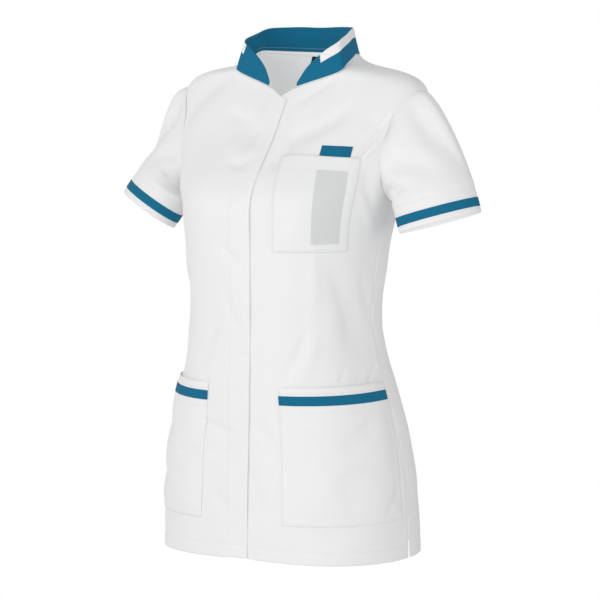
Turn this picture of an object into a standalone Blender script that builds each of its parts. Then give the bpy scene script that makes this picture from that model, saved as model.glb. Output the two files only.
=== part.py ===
# Women's medical tunic: short sleeves, stand collar, concealed front, three patch pockets.
# Metres, +Z up. The front faces -Y and the garment's left side is +X.
# The origin is the middle of the neck opening, 4 mm below the shoulder seams' neck ends.
import math

import bpy
import bmesh
import numpy as np

# Cloth and seams
CLOTH = 0.0015
TRIM = 0.0010
SEAM_GAP = 0.0003
LAP = 0.013
LAP_LIFT = CLOTH + SEAM_GAP + 0.0008

# Heights that the pieces share
ARMPIT_Z = -0.195
SHOULDER_TIP_Z = -0.044
NECK_FRONT_Z = -0.0535
NECK_BACK_Z = 0.0
NECK_SIDE_Z = 0.004
BREAST_MOUTH_Z = -0.130
NECK_LAP_DROP = 0.0055

# Horizontal sections of the whole garment, before the neck and the armholes are cut from it
SECTION_COLUMNS = ("name", "z", "half_width", "front", "back", "side_y", "front_power", "back_power")
SECTIONS = (
    ("below_hem", -0.760, 0.190, 0.171, 0.127, -0.015, 2.5, 2.3),
    ("hem", -0.700, 0.188, 0.171, 0.125, -0.015, 2.5, 2.3),
    ("low_hip", -0.600, 0.182, 0.169, 0.120, -0.018, 2.5, 2.3),
    ("hip", -0.500, 0.165, 0.165, 0.099, -0.022, 2.5, 2.3),
    ("high_hip", -0.420, 0.142, 0.163, 0.083, -0.028, 2.5, 2.3),
    ("waist", -0.370, 0.136, 0.162, 0.075, -0.030, 2.6, 2.3),
    ("under_bust", -0.300, 0.139, 0.162, 0.088, -0.028, 2.6, 2.3),
    ("bust", -0.245, 0.145, 0.162, 0.100, -0.020, 2.6, 2.3),
    ("armpit", -0.195, 0.158, 0.159, 0.107, -0.010, 2.6, 2.3),
    ("chest", -0.150, 0.175, 0.131, 0.110, 0.000, 2.5, 2.4),
    ("upper_chest", -0.110, 0.188, 0.096, 0.107, 0.004, 2.5, 2.4),
    ("yoke", -0.075, 0.193, 0.071, 0.098, 0.008, 2.5, 2.5),
    ("shoulder_tip", -0.044, 0.191, 0.050, 0.088, 0.014, 2.5, 2.5),
    ("shoulder", -0.0145, 0.126, 0.042, 0.081, 0.020, 2.4, 2.4),
    ("neck", 0.006, 0.078, 0.033, 0.077, 0.022, 2.1, 2.1),
    ("above_neck", 0.043, 0.070, 0.028, 0.074, 0.028, 2.1, 2.1),
)

# Fullness that the bust darts give, centred on each side of the front
BUST_FULLNESS = 0.006
BUST_X = 0.085
BUST_Z = -0.215
BUST_SPREAD_X = 0.050
BUST_SPREAD_Z = 0.060

# Rows of the panels from the hem to the armpit
ROW_COLUMNS = ("name", "front_z", "side_z", "back_z", "steps_to_next")
ROWS = (
    ("hem", -0.699, -0.707, -0.707, 1),
    ("hem_line", -0.681, -0.689, -0.689, 1),
    ("pocket_foot", -0.649, -0.649, -0.649, 1),
    ("slit_top", -0.612, -0.612, -0.612, 4),
    ("stripe_foot", -0.480, -0.480, -0.480, 1),
    ("stripe_head", -0.467, -0.467, -0.467, 1),
    ("pocket_mouth", -0.455, -0.455, -0.455, 6),
    ("breast_foot", -0.266, -0.266, -0.266, 3),
    ("armpit", ARMPIT_Z, ARMPIT_Z, ARMPIT_Z, 0),
)
SLIT_TOP_Z = -0.612
SLIT_FOOT_Z = -0.707
SLIT_HALF_OPEN = 0.003
ARMHOLE_STEPS = 12
SHOULDER_STEPS = 4
MOUTH_STEP = 5
INNER_MOUTH_STEP = 6
ARMHOLE_CUT_FRONT = 0.265
ARMHOLE_CUT_BACK = 0.170

# Columns of the panels, as shares of the way round from the centre to the side
FRONT_SHARES = (0.10, 0.19, 0.24, 0.33, 0.425, 0.48, 0.535, 0.60, 0.66, 0.72, 0.79, 0.87, 0.95, 1.0)
BACK_SHARES = (0.0, 0.1, 0.2, 0.3, 0.4, 0.5, 0.6, 0.68, 0.76, 0.84, 0.92, 1.0)
FRONT_FIXED_SHARE = 0.66
BACK_FIXED_SHARE = 0.60

# The front neckline climbs steeply from its V and flattens towards the shoulder
NECK_POWER = 0.70

# The columns on the chest lean with the breast pocket, by this share at each height
LEAN_Z = (-0.400, -0.266, -0.130, -0.050)
LEAN_SHARE = (0.0, 0.020, -0.046, 0.0)
LEAN_FROM = 0.19
LEAN_UNTIL = 0.66
# The hip pockets' outer edge leans out towards its top
HIP_LEAN_Z = (-0.600, -0.490, -0.455, -0.400)
HIP_LEAN_SHARE = (0.0, 0.020, 0.026, 0.0)
HIP_LEAN_FROM = (0.66, 0.95, 1.0)
HIP_LEAN_SIZE = (0.0, 1.0, 0.0)
# The breast pocket's inner edge stays straight over the bust
BREAST_LEAN_Z = (-0.266, -0.232, -0.198, -0.164, -0.130)
BREAST_LEAN_SHARE = (0.0, 0.012, 0.016, 0.012, 0.0)
BREAST_LEAN_FROM = (0.0, 0.19, 0.60)
BREAST_LEAN_SIZE = (0.0, 1.0, 0.0)

# Pockets, by the columns that their edges follow
HIP_POCKET_SHARES = (0.24, 0.95)
BREAST_POCKET_SHARES = (0.19, 0.66)
INNER_POCKET_SHARES = (0.425, 0.60)

# Sleeves: hem centre, the way that the hem faces, the long axis of its oval, and how full the top is
SLEEVE_COLUMNS = ("side", "hem_centre", "hem_faces", "long_axis", "pull_top")
SLEEVES = (
    ("left", (0.243, -0.030, -0.226), (0.29, 0.00, -0.957), (0.866, 0.50, 0.0), 0.50),
    ("right", (-0.227, -0.050, -0.223), (-0.49, -0.27, -0.84), (-0.866, 0.50, 0.0), 0.85),
)
SLEEVE_HEM_LONG = 0.059
SLEEVE_HEM_SHORT = 0.042
SLEEVE_BAND = 0.040
SLEEVE_STRIPE = (0.0210, 0.0085)
SLEEVE_LOFT_STEPS = 6
SLEEVE_PULL_UNDER = 0.50

# Collar: its height grows from the front end to the side
COLLAR_HEIGHT = 0.0365
COLLAR_END_HEIGHT = 0.0055
COLLAR_RISE_SHARE = 0.30
COLLAR_RISE_POWER = 3.0
COLLAR_LEAN = 0.24
COLLAR_SIDE_RISE = 0.0038
COLLAR_SIDE_SHARE = 0.31
COLLAR_BACK_RISE = 0.0060
COLLAR_ROWS = (0.0, 0.14, 0.40, 0.66, 1.0)
COLLAR_STRIP_ROW = 3
COLLAR_STRIP_FROM = 0.17
COLLAR_STRIP_UNTIL = 0.27
COLLAR_FIRST_SHARE = 0.10
COLLAR_SEAM_GAP = 0.0009
NECK_TAPE_FROM = 0.50

WHITE = (0.86, 0.87, 0.88, 1.0)
BLUE = (0.010, 0.130, 0.230, 1.0)
BLACK = (0.010, 0.010, 0.012, 1.0)

REACH = 1e-9


def clear_scene():
    for old in list(bpy.data.objects):
        bpy.data.objects.remove(old, do_unlink=True)


def make_material(name, color):
    material = bpy.data.materials.new(name)
    material.use_nodes = True
    shader = material.node_tree.nodes["Principled BSDF"]
    shader.inputs["Base Color"].default_value = color
    shader.inputs["Roughness"].default_value = 0.85
    shader.inputs["Metallic"].default_value = 0.0
    return material


def column(table, names, wanted):
    place = names.index(wanted)
    return np.array([row[place] for row in table], dtype=float)


def natural_spline(knots, values):
    """Second derivatives of the smooth curve through the values, free at its ends."""
    count = len(knots)
    gaps = np.diff(knots)
    matrix = np.eye(count)
    right = np.zeros(count)
    for i in range(1, count - 1):
        matrix[i, i - 1] = gaps[i - 1]
        matrix[i, i] = 2.0 * (gaps[i - 1] + gaps[i])
        matrix[i, i + 1] = gaps[i]
        rise = (values[i + 1] - values[i]) / gaps[i]
        fall = (values[i] - values[i - 1]) / gaps[i - 1]
        right[i] = 6.0 * (rise - fall)
    return np.linalg.solve(matrix, right)


def spline_value(knots, values, bends, at):
    i = int(np.clip(np.searchsorted(knots, at) - 1, 0, len(knots) - 2))
    gap = knots[i + 1] - knots[i]
    a = (knots[i + 1] - at) / gap
    b = (at - knots[i]) / gap
    curve = ((a ** 3 - a) * bends[i] + (b ** 3 - b) * bends[i + 1]) * gap * gap / 6.0
    return a * values[i] + b * values[i + 1] + curve


class Form:
    """The garment's outer surface, from smooth sections and the share of the way round each."""

    def __init__(self):
        self.z = column(SECTIONS, SECTION_COLUMNS, "z")
        width = column(SECTIONS, SECTION_COLUMNS, "half_width")
        steps = np.hypot(np.diff(self.z), np.diff(width))
        self.knots = np.concatenate([[0.0], np.cumsum(steps)])
        self.curves = {}
        for name in SECTION_COLUMNS[1:]:
            values = column(SECTIONS, SECTION_COLUMNS, name)
            self.curves[name] = (values, natural_spline(self.knots, values))
        self.fine = np.linspace(0.0, self.knots[-1], 1500)
        self.fine_z = np.array([self.read("z", at) for at in self.fine])
        self.outlines = {}

    def read(self, name, at):
        values, bends = self.curves[name]
        return spline_value(self.knots, values, bends, at)

    def outline(self, z, back):
        """A quarter of the section at this height, from the centre to the side, and its lengths."""
        key = (round(z, 7), back)
        if key not in self.outlines:
            at = float(np.interp(z, self.fine_z, self.fine))
            side_y = self.read("side_y", at)
            if back:
                depth = self.read("back", at) - side_y
                power = self.read("back_power", at)
            else:
                depth = self.read("front", at) + side_y
                power = self.read("front_power", at)
            turn = np.linspace(0.0, math.pi / 2, 160)
            x = self.read("half_width", at) * np.sin(turn) ** (2.0 / power)
            y = depth * np.clip(np.cos(turn), 0.0, 1.0) ** (2.0 / power)
            y = side_y + y if back else side_y - y
            length = np.concatenate([[0.0], np.cumsum(np.hypot(np.diff(x), np.diff(y)))])
            self.outlines[key] = (x, y, length)
        return self.outlines[key]

    def girth(self, z, back):
        return self.outline(z, back)[2][-1]

    def point(self, share, z, back=False):
        """A point at this share of the way from the centre to the side; a share below 0 is past the centre."""
        x, y, length = self.outline(z, back)
        along = abs(share) * length[-1]
        px = float(np.interp(along, length, x))
        py = float(np.interp(along, length, y))
        if not back:
            across = (px - BUST_X) / BUST_SPREAD_X
            upright = (z - BUST_Z) / BUST_SPREAD_Z
            py -= BUST_FULLNESS * math.exp(-across * across - upright * upright)
        return np.array([math.copysign(px, share) if share else 0.0, py, z])


def panel_rows():
    """Front, side and back height of every row, and how far the armhole cuts in, 0 to 1."""
    rows = []
    for here, above in zip(ROWS, ROWS[1:]):
        for step in range(here[4]):
            share = step / here[4]
            heights = [here[k] + (above[k] - here[k]) * share for k in (1, 2, 3)]
            rows.append(heights + [0.0])
    climb = ARMHOLE_STEPS + SHOULDER_STEPS
    for step in range(climb + 1):
        if step <= ARMHOLE_STEPS:
            turn = math.pi * step / ARMHOLE_STEPS
            side_z = ARMPIT_Z + (SHOULDER_TIP_Z - ARMPIT_Z) * (1.0 - math.cos(turn)) / 2.0
            cut = math.sin(turn)
        else:
            share = (step - ARMHOLE_STEPS) / SHOULDER_STEPS
            side_z = SHOULDER_TIP_Z + (NECK_SIDE_Z - SHOULDER_TIP_Z) * share
            cut = 0.0
        if step <= MOUTH_STEP:
            front_z = ARMPIT_Z + (BREAST_MOUTH_Z - ARMPIT_Z) * step / MOUTH_STEP
        else:
            share = (step - MOUTH_STEP) / (climb - MOUTH_STEP)
            front_z = BREAST_MOUTH_Z + (NECK_FRONT_Z - BREAST_MOUTH_Z) * share
        back_z = ARMPIT_Z + (NECK_BACK_Z - ARMPIT_Z) * step / climb
        rows.append([front_z, side_z, back_z, cut])
    return rows


def row_named(name):
    count = 0
    for row in ROWS:
        if row[0] == name:
            return count
        count += row[4]
    raise ValueError(name)


def smooth(share):
    share = min(max(share, 0.0), 1.0)
    return share * share * (3.0 - 2.0 * share)


def edge_share(share, fixed, cut, girth, z):
    """Columns keep their share up to the fixed one, and close up beyond it by the armhole and the side slit."""
    slit = SLIT_HALF_OPEN * min(max((SLIT_TOP_Z - z) / (SLIT_TOP_Z - SLIT_FOOT_Z), 0.0), 1.0)
    edge = 1.0 - cut - (SEAM_GAP + slit) / girth
    if share <= fixed:
        return share
    return fixed + (share - fixed) / (1.0 - fixed) * (edge - fixed)


def neck_weight(share):
    """How far a column has climbed, 0 to 1, from the front neck to the shoulder where it meets the neck."""
    return share ** NECK_POWER


def front_grid(form, rows):
    """Outer face of the left front: rows from the hem up, columns from the lap edge to the side."""
    grid = []
    last = len(rows) - 1
    lap_weight = neck_weight(LAP / form.girth(NECK_FRONT_Z, False))
    weights = [neck_weight(share) for share in FRONT_SHARES]
    for index, (front_z, side_z, _, cut) in enumerate(rows):
        line = []
        for place in (-LAP, 0.0, LAP):
            z = front_z
            if index == last and place < 0.0:
                z -= NECK_LAP_DROP
            if index == last and place > 0.0:
                z += (side_z - front_z) * lap_weight
            share = place / form.girth(z, False)
            line.append(form.point(share, z))
        for share, weight in zip(FRONT_SHARES, weights):
            z = front_z + (side_z - front_z) * weight
            girth = form.girth(z, False)
            at = edge_share(share, FRONT_FIXED_SHARE, ARMHOLE_CUT_FRONT * cut, girth, z)
            reach = smooth(share / LEAN_FROM) * smooth((1.0 - share) / (1.0 - LEAN_UNTIL))
            at += float(np.interp(z, LEAN_Z, LEAN_SHARE)) * reach
            at += float(np.interp(z, HIP_LEAN_Z, HIP_LEAN_SHARE) * np.interp(share, HIP_LEAN_FROM, HIP_LEAN_SIZE))
            at += float(np.interp(z, BREAST_LEAN_Z, BREAST_LEAN_SHARE)
                        * np.interp(share, BREAST_LEAN_FROM, BREAST_LEAN_SIZE))
            line.append(form.point(at, z))
        grid.append(line)
    return np.array(grid)


def back_grid(form, rows):
    """Outer face of the back: rows from the hem up, columns from the right side to the left."""
    grid = []
    for _, side_z, back_z, cut in rows:
        half = []
        for share in BACK_SHARES:
            z = back_z + (side_z - back_z) * smooth(share)
            girth = form.girth(z, True)
            at = edge_share(share, BACK_FIXED_SHARE, ARMHOLE_CUT_BACK * cut, girth, z)
            half.append(form.point(at, z, back=True))
        other = [point * np.array([-1.0, 1.0, 1.0]) for point in half[:0:-1]]
        grid.append(other + half)
    return np.array(grid)


def mirrored(grid):
    return grid * np.array([-1.0, 1.0, 1.0])


def grid_normals(grid, closed=False):
    """Unit normals of a grid of points, from the lines that cross at each point."""
    up = np.gradient(grid, axis=0)
    if closed:
        along = np.roll(grid, -1, axis=1) - np.roll(grid, 1, axis=1)
    else:
        along = np.gradient(grid, axis=1)
    normal = np.cross(along, up)
    return normal / np.maximum(np.linalg.norm(normal, axis=2, keepdims=True), REACH)


def moved_out(grid, normals, distance):
    return grid + normals * np.asarray(distance)[..., None] if np.ndim(distance) else grid + normals * distance


def cloth_object(name, grid, material, collection, thickness, grow, flip=False, closed=False):
    """A sheet through a grid of points, with a Solidify wall that grows out (1) or in (-1)."""
    bm = bmesh.new()
    rows = [[bm.verts.new(point) for point in line] for line in grid]
    width = len(rows[0])
    for low, high in zip(rows, rows[1:]):
        for k in range(width if closed else width - 1):
            m = (k + 1) % width
            corners = (low[k], low[m], high[m], high[k])
            bm.faces.new(corners[::-1] if flip else corners)
    mesh = bpy.data.meshes.new(name)
    bm.to_mesh(mesh)
    bm.free()
    mesh.shade_smooth()
    mesh.materials.append(material)
    item = bpy.data.objects.new(name, mesh)
    collection.objects.link(item)
    wall = item.modifiers.new("Wall", "SOLIDIFY")
    wall.thickness = thickness
    wall.offset = grow
    wall.use_even_offset = True
    return item


def lap_lift(columns):
    """How far the right front stands out over the left front, column by column from its edge."""
    distances = np.array([0.0, LAP, 2.0 * LAP] + [share * 0.25 + LAP for share in FRONT_SHARES])
    fade = np.array([1.0 - smooth((d - 2.0 * LAP) / 0.040) for d in distances])
    return LAP_LIFT * fade[:columns]


def share_columns(shares):
    first = FRONT_SHARES.index(shares[0]) + 3
    last = FRONT_SHARES.index(shares[1]) + 3
    return first, last + 1


def sleeve_rings(form, front, back, side):
    """Rings of a sleeve from its armhole to its hem, each from the shoulder tip round the front."""
    _, centre, faces, long_axis, pull_top = side
    centre = np.array(centre)
    faces = np.array(faces) / np.linalg.norm(faces)
    first = row_named("armpit")
    tip = first + ARMHOLE_STEPS
    front_edge = front[first:tip + 1, -1][::-1]
    back_edge = back[first:tip + 1, -1 if side[0] == "left" else 0]
    front_next = front[first:tip + 1, -2][::-1]
    back_next = back[first:tip + 1, -2 if side[0] == "left" else 1]
    loop = np.concatenate([front_edge, back_edge[1:-1]])
    inner = np.concatenate([front_next, back_next[1:-1]])
    count = len(loop)
    loop[0] = (front_edge[0] + back_edge[-1]) / 2.0
    loop[ARMHOLE_STEPS] = (front_edge[-1] + back_edge[0]) / 2.0
    along = np.roll(loop, -1, axis=0) - np.roll(loop, 1, axis=0)
    along /= np.linalg.norm(along, axis=1, keepdims=True)
    leave = loop - inner
    leave[0] = front_edge[0] - front[tip + 1, -1]
    for _ in range(3):
        leave = (np.roll(leave, 1, axis=0) + 2.0 * leave + np.roll(leave, -1, axis=0)) / 4.0
    leave -= along * np.sum(leave * along, axis=1, keepdims=True)
    leave /= np.maximum(np.linalg.norm(leave, axis=1, keepdims=True), REACH)
    long_way = np.array(long_axis) - faces * np.dot(long_axis, faces)
    long_way /= np.linalg.norm(long_way)
    short_way = np.cross(faces, long_way)
    if short_way[1] > 0.0:
        short_way = -short_way
    rings = []
    turn = 2.0 * math.pi * np.arange(count) / count
    hem = centre + SLEEVE_HEM_LONG * np.cos(turn)[:, None] * long_way
    hem = hem + SLEEVE_HEM_SHORT * np.sin(turn)[:, None] * short_way
    band = hem - faces * SLEEVE_BAND
    under = (1.0 - np.cos(turn)) / 2.0
    mix = np.array([smooth((value - 0.30) / 0.60) for value in under])[:, None]
    start = leave * (1.0 - mix) + faces * mix
    start /= np.linalg.norm(start, axis=1, keepdims=True)
    span = np.linalg.norm(band - loop, axis=1, keepdims=True)
    base = loop + start * SEAM_GAP * 1.5
    pull = span * (pull_top + (SLEEVE_PULL_UNDER - pull_top) * under[:, None])
    for step in range(SLEEVE_LOFT_STEPS + 1):
        t = step / SLEEVE_LOFT_STEPS
        h00 = 2 * t ** 3 - 3 * t ** 2 + 1
        h10 = t ** 3 - 2 * t ** 2 + t
        h01 = -2 * t ** 3 + 3 * t ** 2
        h11 = t ** 3 - t ** 2
        rings.append(h00 * base + h10 * start * pull + h01 * band + h11 * faces * pull)
    for height in SLEEVE_STRIPE + (0.0,):
        rings.append(hem - faces * height)
    return np.array(rings)


def collar_grid(front, right_front, back):
    """Rows of the collar from the neck seam up, and each column's share from its end to the back."""
    first = FRONT_SHARES.index(COLLAR_FIRST_SHARE) + 3
    left = front[-1, first:]
    right = right_front[-1, first:]
    base = np.concatenate([left, back[-1, ::-1][1:-1], right[::-1]])
    steps = np.linalg.norm(np.diff(base, axis=0), axis=1)
    walked = np.concatenate([[0.0], np.cumsum(steps)])
    half = walked[-1] / 2.0
    share = np.minimum(walked, walked[-1] - walked) / half
    rise = np.clip(1.0 - share / COLLAR_RISE_SHARE, 0.0, 1.0) ** COLLAR_RISE_POWER
    height = COLLAR_END_HEIGHT + (COLLAR_HEIGHT - COLLAR_END_HEIGHT) * (1.0 - rise)
    height = height + COLLAR_SIDE_RISE * np.exp(-((share - COLLAR_SIDE_SHARE) / 0.10) ** 2)
    height = height + COLLAR_BACK_RISE * np.array([smooth((value - 0.45) / 0.45) for value in share])
    centre = np.array([0.0, base[:, 1].mean(), 0.0])
    out = (base - centre) * np.array([1.0, 1.0, 0.0])
    out /= np.linalg.norm(out, axis=1, keepdims=True)
    way = np.array([0.0, 0.0, 1.0]) - out * COLLAR_LEAN
    way /= np.linalg.norm(way, axis=1, keepdims=True)
    start = base + np.array([0.0, 0.0, COLLAR_SEAM_GAP])
    grid = [start + way * (height * part)[:, None] for part in COLLAR_ROWS]
    return np.array(grid), share


def build():
    clear_scene()
    collection = bpy.data.collections.new("medical_tunic")
    bpy.context.scene.collection.children.link(collection)
    white = make_material("white_cloth", WHITE)
    blue = make_material("blue_cloth", BLUE)
    black = make_material("black_label", BLACK)
    form = Form()
    rows = panel_rows()

    # Fronts: the right one laps over the left one
    left = front_grid(form, rows)
    left_normals = grid_normals(left)
    raised = left + left_normals * lap_lift(left.shape[1])[None, :, None]
    right = mirrored(raised)
    right_normals = left_normals * np.array([-1.0, 1.0, 1.0])
    cloth_object("front_left", left, white, collection, CLOTH, -1)
    cloth_object("front_right", right, white, collection, CLOTH, -1, flip=True)

    # Back, in one piece from side seam to side seam
    back = back_grid(form, rows)
    back_normals = -grid_normals(back)
    cloth_object("back", back, white, collection, CLOTH, -1, flip=True)

    # Sleeves and the stripe above each hem
    for side in SLEEVES:
        is_left = side[0] == "left"
        front = left if is_left else mirrored(left)
        rings = sleeve_rings(form, front, back, side)
        normals = grid_normals(rings, closed=True)
        outward = np.sum(normals * (rings - rings.mean(axis=1, keepdims=True))) > 0.0
        normals = normals if outward else -normals
        flip = not outward
        cloth_object("sleeve_" + side[0], rings, white, collection, CLOTH, -1, flip=flip, closed=True)
        stripe = moved_out(rings[-3:-1], normals[-3:-1], SEAM_GAP)
        cloth_object("sleeve_stripe_" + side[0], stripe, blue, collection, TRIM, 1, flip=flip, closed=True)

    # Collar, the white strip at its top, the tape over the back neck seam and the label
    collar, share = collar_grid(left, right, back)
    collar_normals = grid_normals(collar)
    cloth_object("collar", collar, blue, collection, CLOTH, -1)
    strip = slice(np.where(share >= COLLAR_STRIP_FROM)[0][0], np.where(share >= COLLAR_STRIP_UNTIL)[0][-1] + 1)
    top = slice(COLLAR_STRIP_ROW, len(COLLAR_ROWS))
    outside = moved_out(collar[top, strip], collar_normals[top, strip], SEAM_GAP)
    cloth_object("collar_strip", outside, white, collection, TRIM, 1)
    near = np.where(share >= NECK_TAPE_FROM)[0]
    tape = slice(near[0], near[-1] + 1)
    inside = moved_out(collar[0:2, tape], collar_normals[0:2, tape], -CLOTH - SEAM_GAP)
    cloth_object("neck_tape", inside, white, collection, TRIM, -1)
    middle = len(BACK_SHARES) - 1
    spread = slice(middle - 2, middle + 3)
    label = moved_out(back[-3:, spread], back_normals[-3:, spread], -CLOTH - SEAM_GAP)
    cloth_object("label", label, black, collection, TRIM, -1, flip=True)

    # Hip pockets with their stripes
    first, last = share_columns(HIP_POCKET_SHARES)
    foot = row_named("pocket_foot")
    mouth = row_named("pocket_mouth")
    stripe_foot = row_named("stripe_foot")
    stripe_head = row_named("stripe_head")
    for name, panel, normals, flip in (
        ("left", left, left_normals, False),
        ("right", right, right_normals, True),
    ):
        area = (slice(foot, mouth + 1), slice(first, last))
        pocket = moved_out(panel[area], normals[area], SEAM_GAP)
        cloth_object("hip_pocket_" + name, pocket, white, collection, TRIM, 1, flip=flip)
        area = (slice(stripe_foot, stripe_head + 1), slice(first, last))
        stripe = moved_out(panel[area], normals[area], SEAM_GAP + TRIM + SEAM_GAP)
        cloth_object("hip_stripe_" + name, stripe, blue, collection, TRIM, 1, flip=flip)

    # Breast pocket, with the narrow pocket between it and the front
    armpit = row_named("armpit")
    first, last = share_columns(INNER_POCKET_SHARES)
    area = (slice(row_named("breast_foot") + 1, armpit + INNER_MOUTH_STEP + 1), slice(first, last))
    inner = moved_out(left[area], left_normals[area], SEAM_GAP)
    cloth_object("inner_pocket", inner, blue, collection, TRIM, 1)
    first, last = share_columns(BREAST_POCKET_SHARES)
    area = (slice(row_named("breast_foot"), armpit + MOUTH_STEP + 1), slice(first, last))
    stand = np.full(left[area].shape[:2], SEAM_GAP + TRIM + SEAM_GAP)
    stand[0, :] = SEAM_GAP
    stand[:, 0] = SEAM_GAP
    stand[:, -1] = SEAM_GAP
    breast = moved_out(left[area], left_normals[area], stand)
    cloth_object("breast_pocket", breast, white, collection, TRIM, 1)


build()
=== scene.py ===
# %% [markdown]
# A women's medical tunic in white cotton twill with blue trim, filled out as if worn.
# This lesson dresses a plain frame of solids with thin cloth shells. Every shell lies on
# the solid that it stands for, so nothing has to be fitted afterwards. Lengths are metres,
# the front faces -Y and the garment's left side is +X.

# %% Load the frame
import math

import bpy
import numpy as np
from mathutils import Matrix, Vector


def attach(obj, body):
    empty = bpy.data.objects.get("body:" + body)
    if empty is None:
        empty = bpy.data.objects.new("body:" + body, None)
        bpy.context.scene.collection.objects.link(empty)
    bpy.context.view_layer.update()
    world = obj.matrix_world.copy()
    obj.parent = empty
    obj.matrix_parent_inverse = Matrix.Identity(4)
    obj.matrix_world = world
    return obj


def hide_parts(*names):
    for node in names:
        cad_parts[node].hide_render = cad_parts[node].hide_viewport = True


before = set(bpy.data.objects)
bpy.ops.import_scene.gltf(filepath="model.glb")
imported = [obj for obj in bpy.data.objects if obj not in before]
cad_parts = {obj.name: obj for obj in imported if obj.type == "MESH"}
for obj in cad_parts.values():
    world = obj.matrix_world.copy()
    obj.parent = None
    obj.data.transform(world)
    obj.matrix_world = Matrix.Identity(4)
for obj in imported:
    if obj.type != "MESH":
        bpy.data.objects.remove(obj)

scene = bpy.context.scene
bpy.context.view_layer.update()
print("frame nodes:", len(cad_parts))

# %% [markdown]
# A few helpers serve every later step: lengths, directions and distances of arrays of
# points, a soft step from 0 to 1, and makers of objects, nodes and materials.

# %% Helpers
MIRROR = np.array([-1.0, 1.0, 1.0])
PLAIN_WHITE = (1.0, 1.0, 1.0, 1.0)


def lengths(vectors):
    return np.linalg.norm(vectors, axis=-1)


def unit(vectors):
    return vectors / np.maximum(lengths(vectors), 1e-9)[..., None]


def walk(points):
    """Distance along a line of points, from the first one."""
    return np.concatenate([[0.0], np.cumsum(lengths(np.diff(points, axis=0)))])


def smooth(share):
    share = np.clip(share, 0.0, 1.0)
    return share * share * (3.0 - 2.0 * share)


def soften(line):
    """Evens out a line of values in place, and keeps its two ends."""
    line[1:-1] = (line[:-2] + 2.0 * line[1:-1] + line[2:]) / 4.0


def add_object(name, data):
    item = bpy.data.objects.new(name, data)
    scene.collection.objects.link(item)
    return item


def fill(tree, made, inputs):
    """Sets each named input of a node, or links it where a socket is given."""
    for name, value in inputs.items():
        if isinstance(value, bpy.types.NodeSocket):
            tree.links.new(value, made.inputs[name])
        else:
            made.inputs[name].default_value = value


def node(tree, kind, inputs=None, **settings):
    made = tree.nodes.new(kind)
    for name, value in settings.items():
        setattr(made, name, value)
    fill(tree, made, inputs or {})
    return made


def calculate(tree, operation, *values):
    return node(tree, "ShaderNodeMath", dict(enumerate(values)), operation=operation).outputs[0]


def new_material(name):
    """A new material with its node tree and its Principled shader."""
    material = bpy.data.materials.new(name)
    material.use_nodes = True
    return material, material.node_tree, material.node_tree.nodes["Principled BSDF"]


print("a soft step at its middle:", float(smooth(0.5)))

# %% [markdown]
# The camera stands a little above the chest and looks from the garment's left. A long
# lens keeps the hem and the collar at nearly the same scale, as a studio photograph does.

# %% Camera
CAMERA_AZIMUTH = math.radians(30.0)
CAMERA_ELEVATION = math.radians(6.0)
CAMERA_DISTANCE = 4.0
CAMERA_TARGET = Vector((0.0, 0.0, -0.35))
CAMERA_LENS = 165.6

away = Vector((
    math.sin(CAMERA_AZIMUTH) * math.cos(CAMERA_ELEVATION),
    -math.cos(CAMERA_AZIMUTH) * math.cos(CAMERA_ELEVATION),
    math.sin(CAMERA_ELEVATION),
))
camera_data = bpy.data.cameras.new("camera")
camera_data.lens = CAMERA_LENS
camera_data.sensor_width = 36.0
camera_data.clip_end = 200.0
camera = add_object("camera", camera_data)
camera.location = CAMERA_TARGET + away * CAMERA_DISTANCE
camera.rotation_euler = away.to_track_quat("Z", "Y").to_euler()
scene.camera = camera
print("camera at", [round(v, 3) for v in camera.location])

# %% [markdown]
# White cloth on a white ground only shows by its shading. A bright even sky gives most of
# the light, a little more from the front and from below. Large soft lamps add shape: one
# in front, one high on the wearer's right, one on the left, and one behind for the back.

# %% Floor and lights
FLOOR_Z = -1.40
FLOOR_RADIUS = 2.7
FLOOR_CORNERS = 96
FLOOR_COLOUR = (0.88, 0.88, 0.88, 1.0)
SKY_STRENGTH = 0.67
SKY_TILT = (-0.05, -0.09, -0.12)
SKY_SEEN = 1.0
LIGHTS = (
    # name, place, size, power
    ("front", (0.6, -4.2, 0.1), 2.4, 29.0),
    ("high", (-2.0, -3.0, 1.5), 2.0, 24.0),
    ("side", (3.4, -1.6, 0.2), 2.4, 23.0),
    ("behind", (-2.6, 3.4, 1.0), 2.0, 24.0),
)


def add_floor():
    mesh = bpy.data.meshes.new("floor")
    turns = [math.tau * k / FLOOR_CORNERS for k in range(FLOOR_CORNERS)]
    corners = [(FLOOR_RADIUS * math.cos(t), FLOOR_RADIUS * math.sin(t), FLOOR_Z) for t in turns]
    mesh.from_pydata(corners, [], [tuple(range(FLOOR_CORNERS))])
    material, tree, shader = new_material("pale_floor")
    fill(tree, shader, {"Base Color": FLOOR_COLOUR, "Roughness": 1.0, "Specular IOR Level": 0.0})
    mesh.materials.append(material)
    add_object("floor", mesh)


def add_lights():
    for name, place, size, power in LIGHTS:
        data = bpy.data.lights.new(name, "AREA")
        data.shape = "DISK"
        data.size = size
        data.energy = power
        lamp = add_object(name, data)
        lamp.location = place
        lamp.rotation_euler = (Vector(place) - CAMERA_TARGET).to_track_quat("Z", "Y").to_euler()


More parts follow.
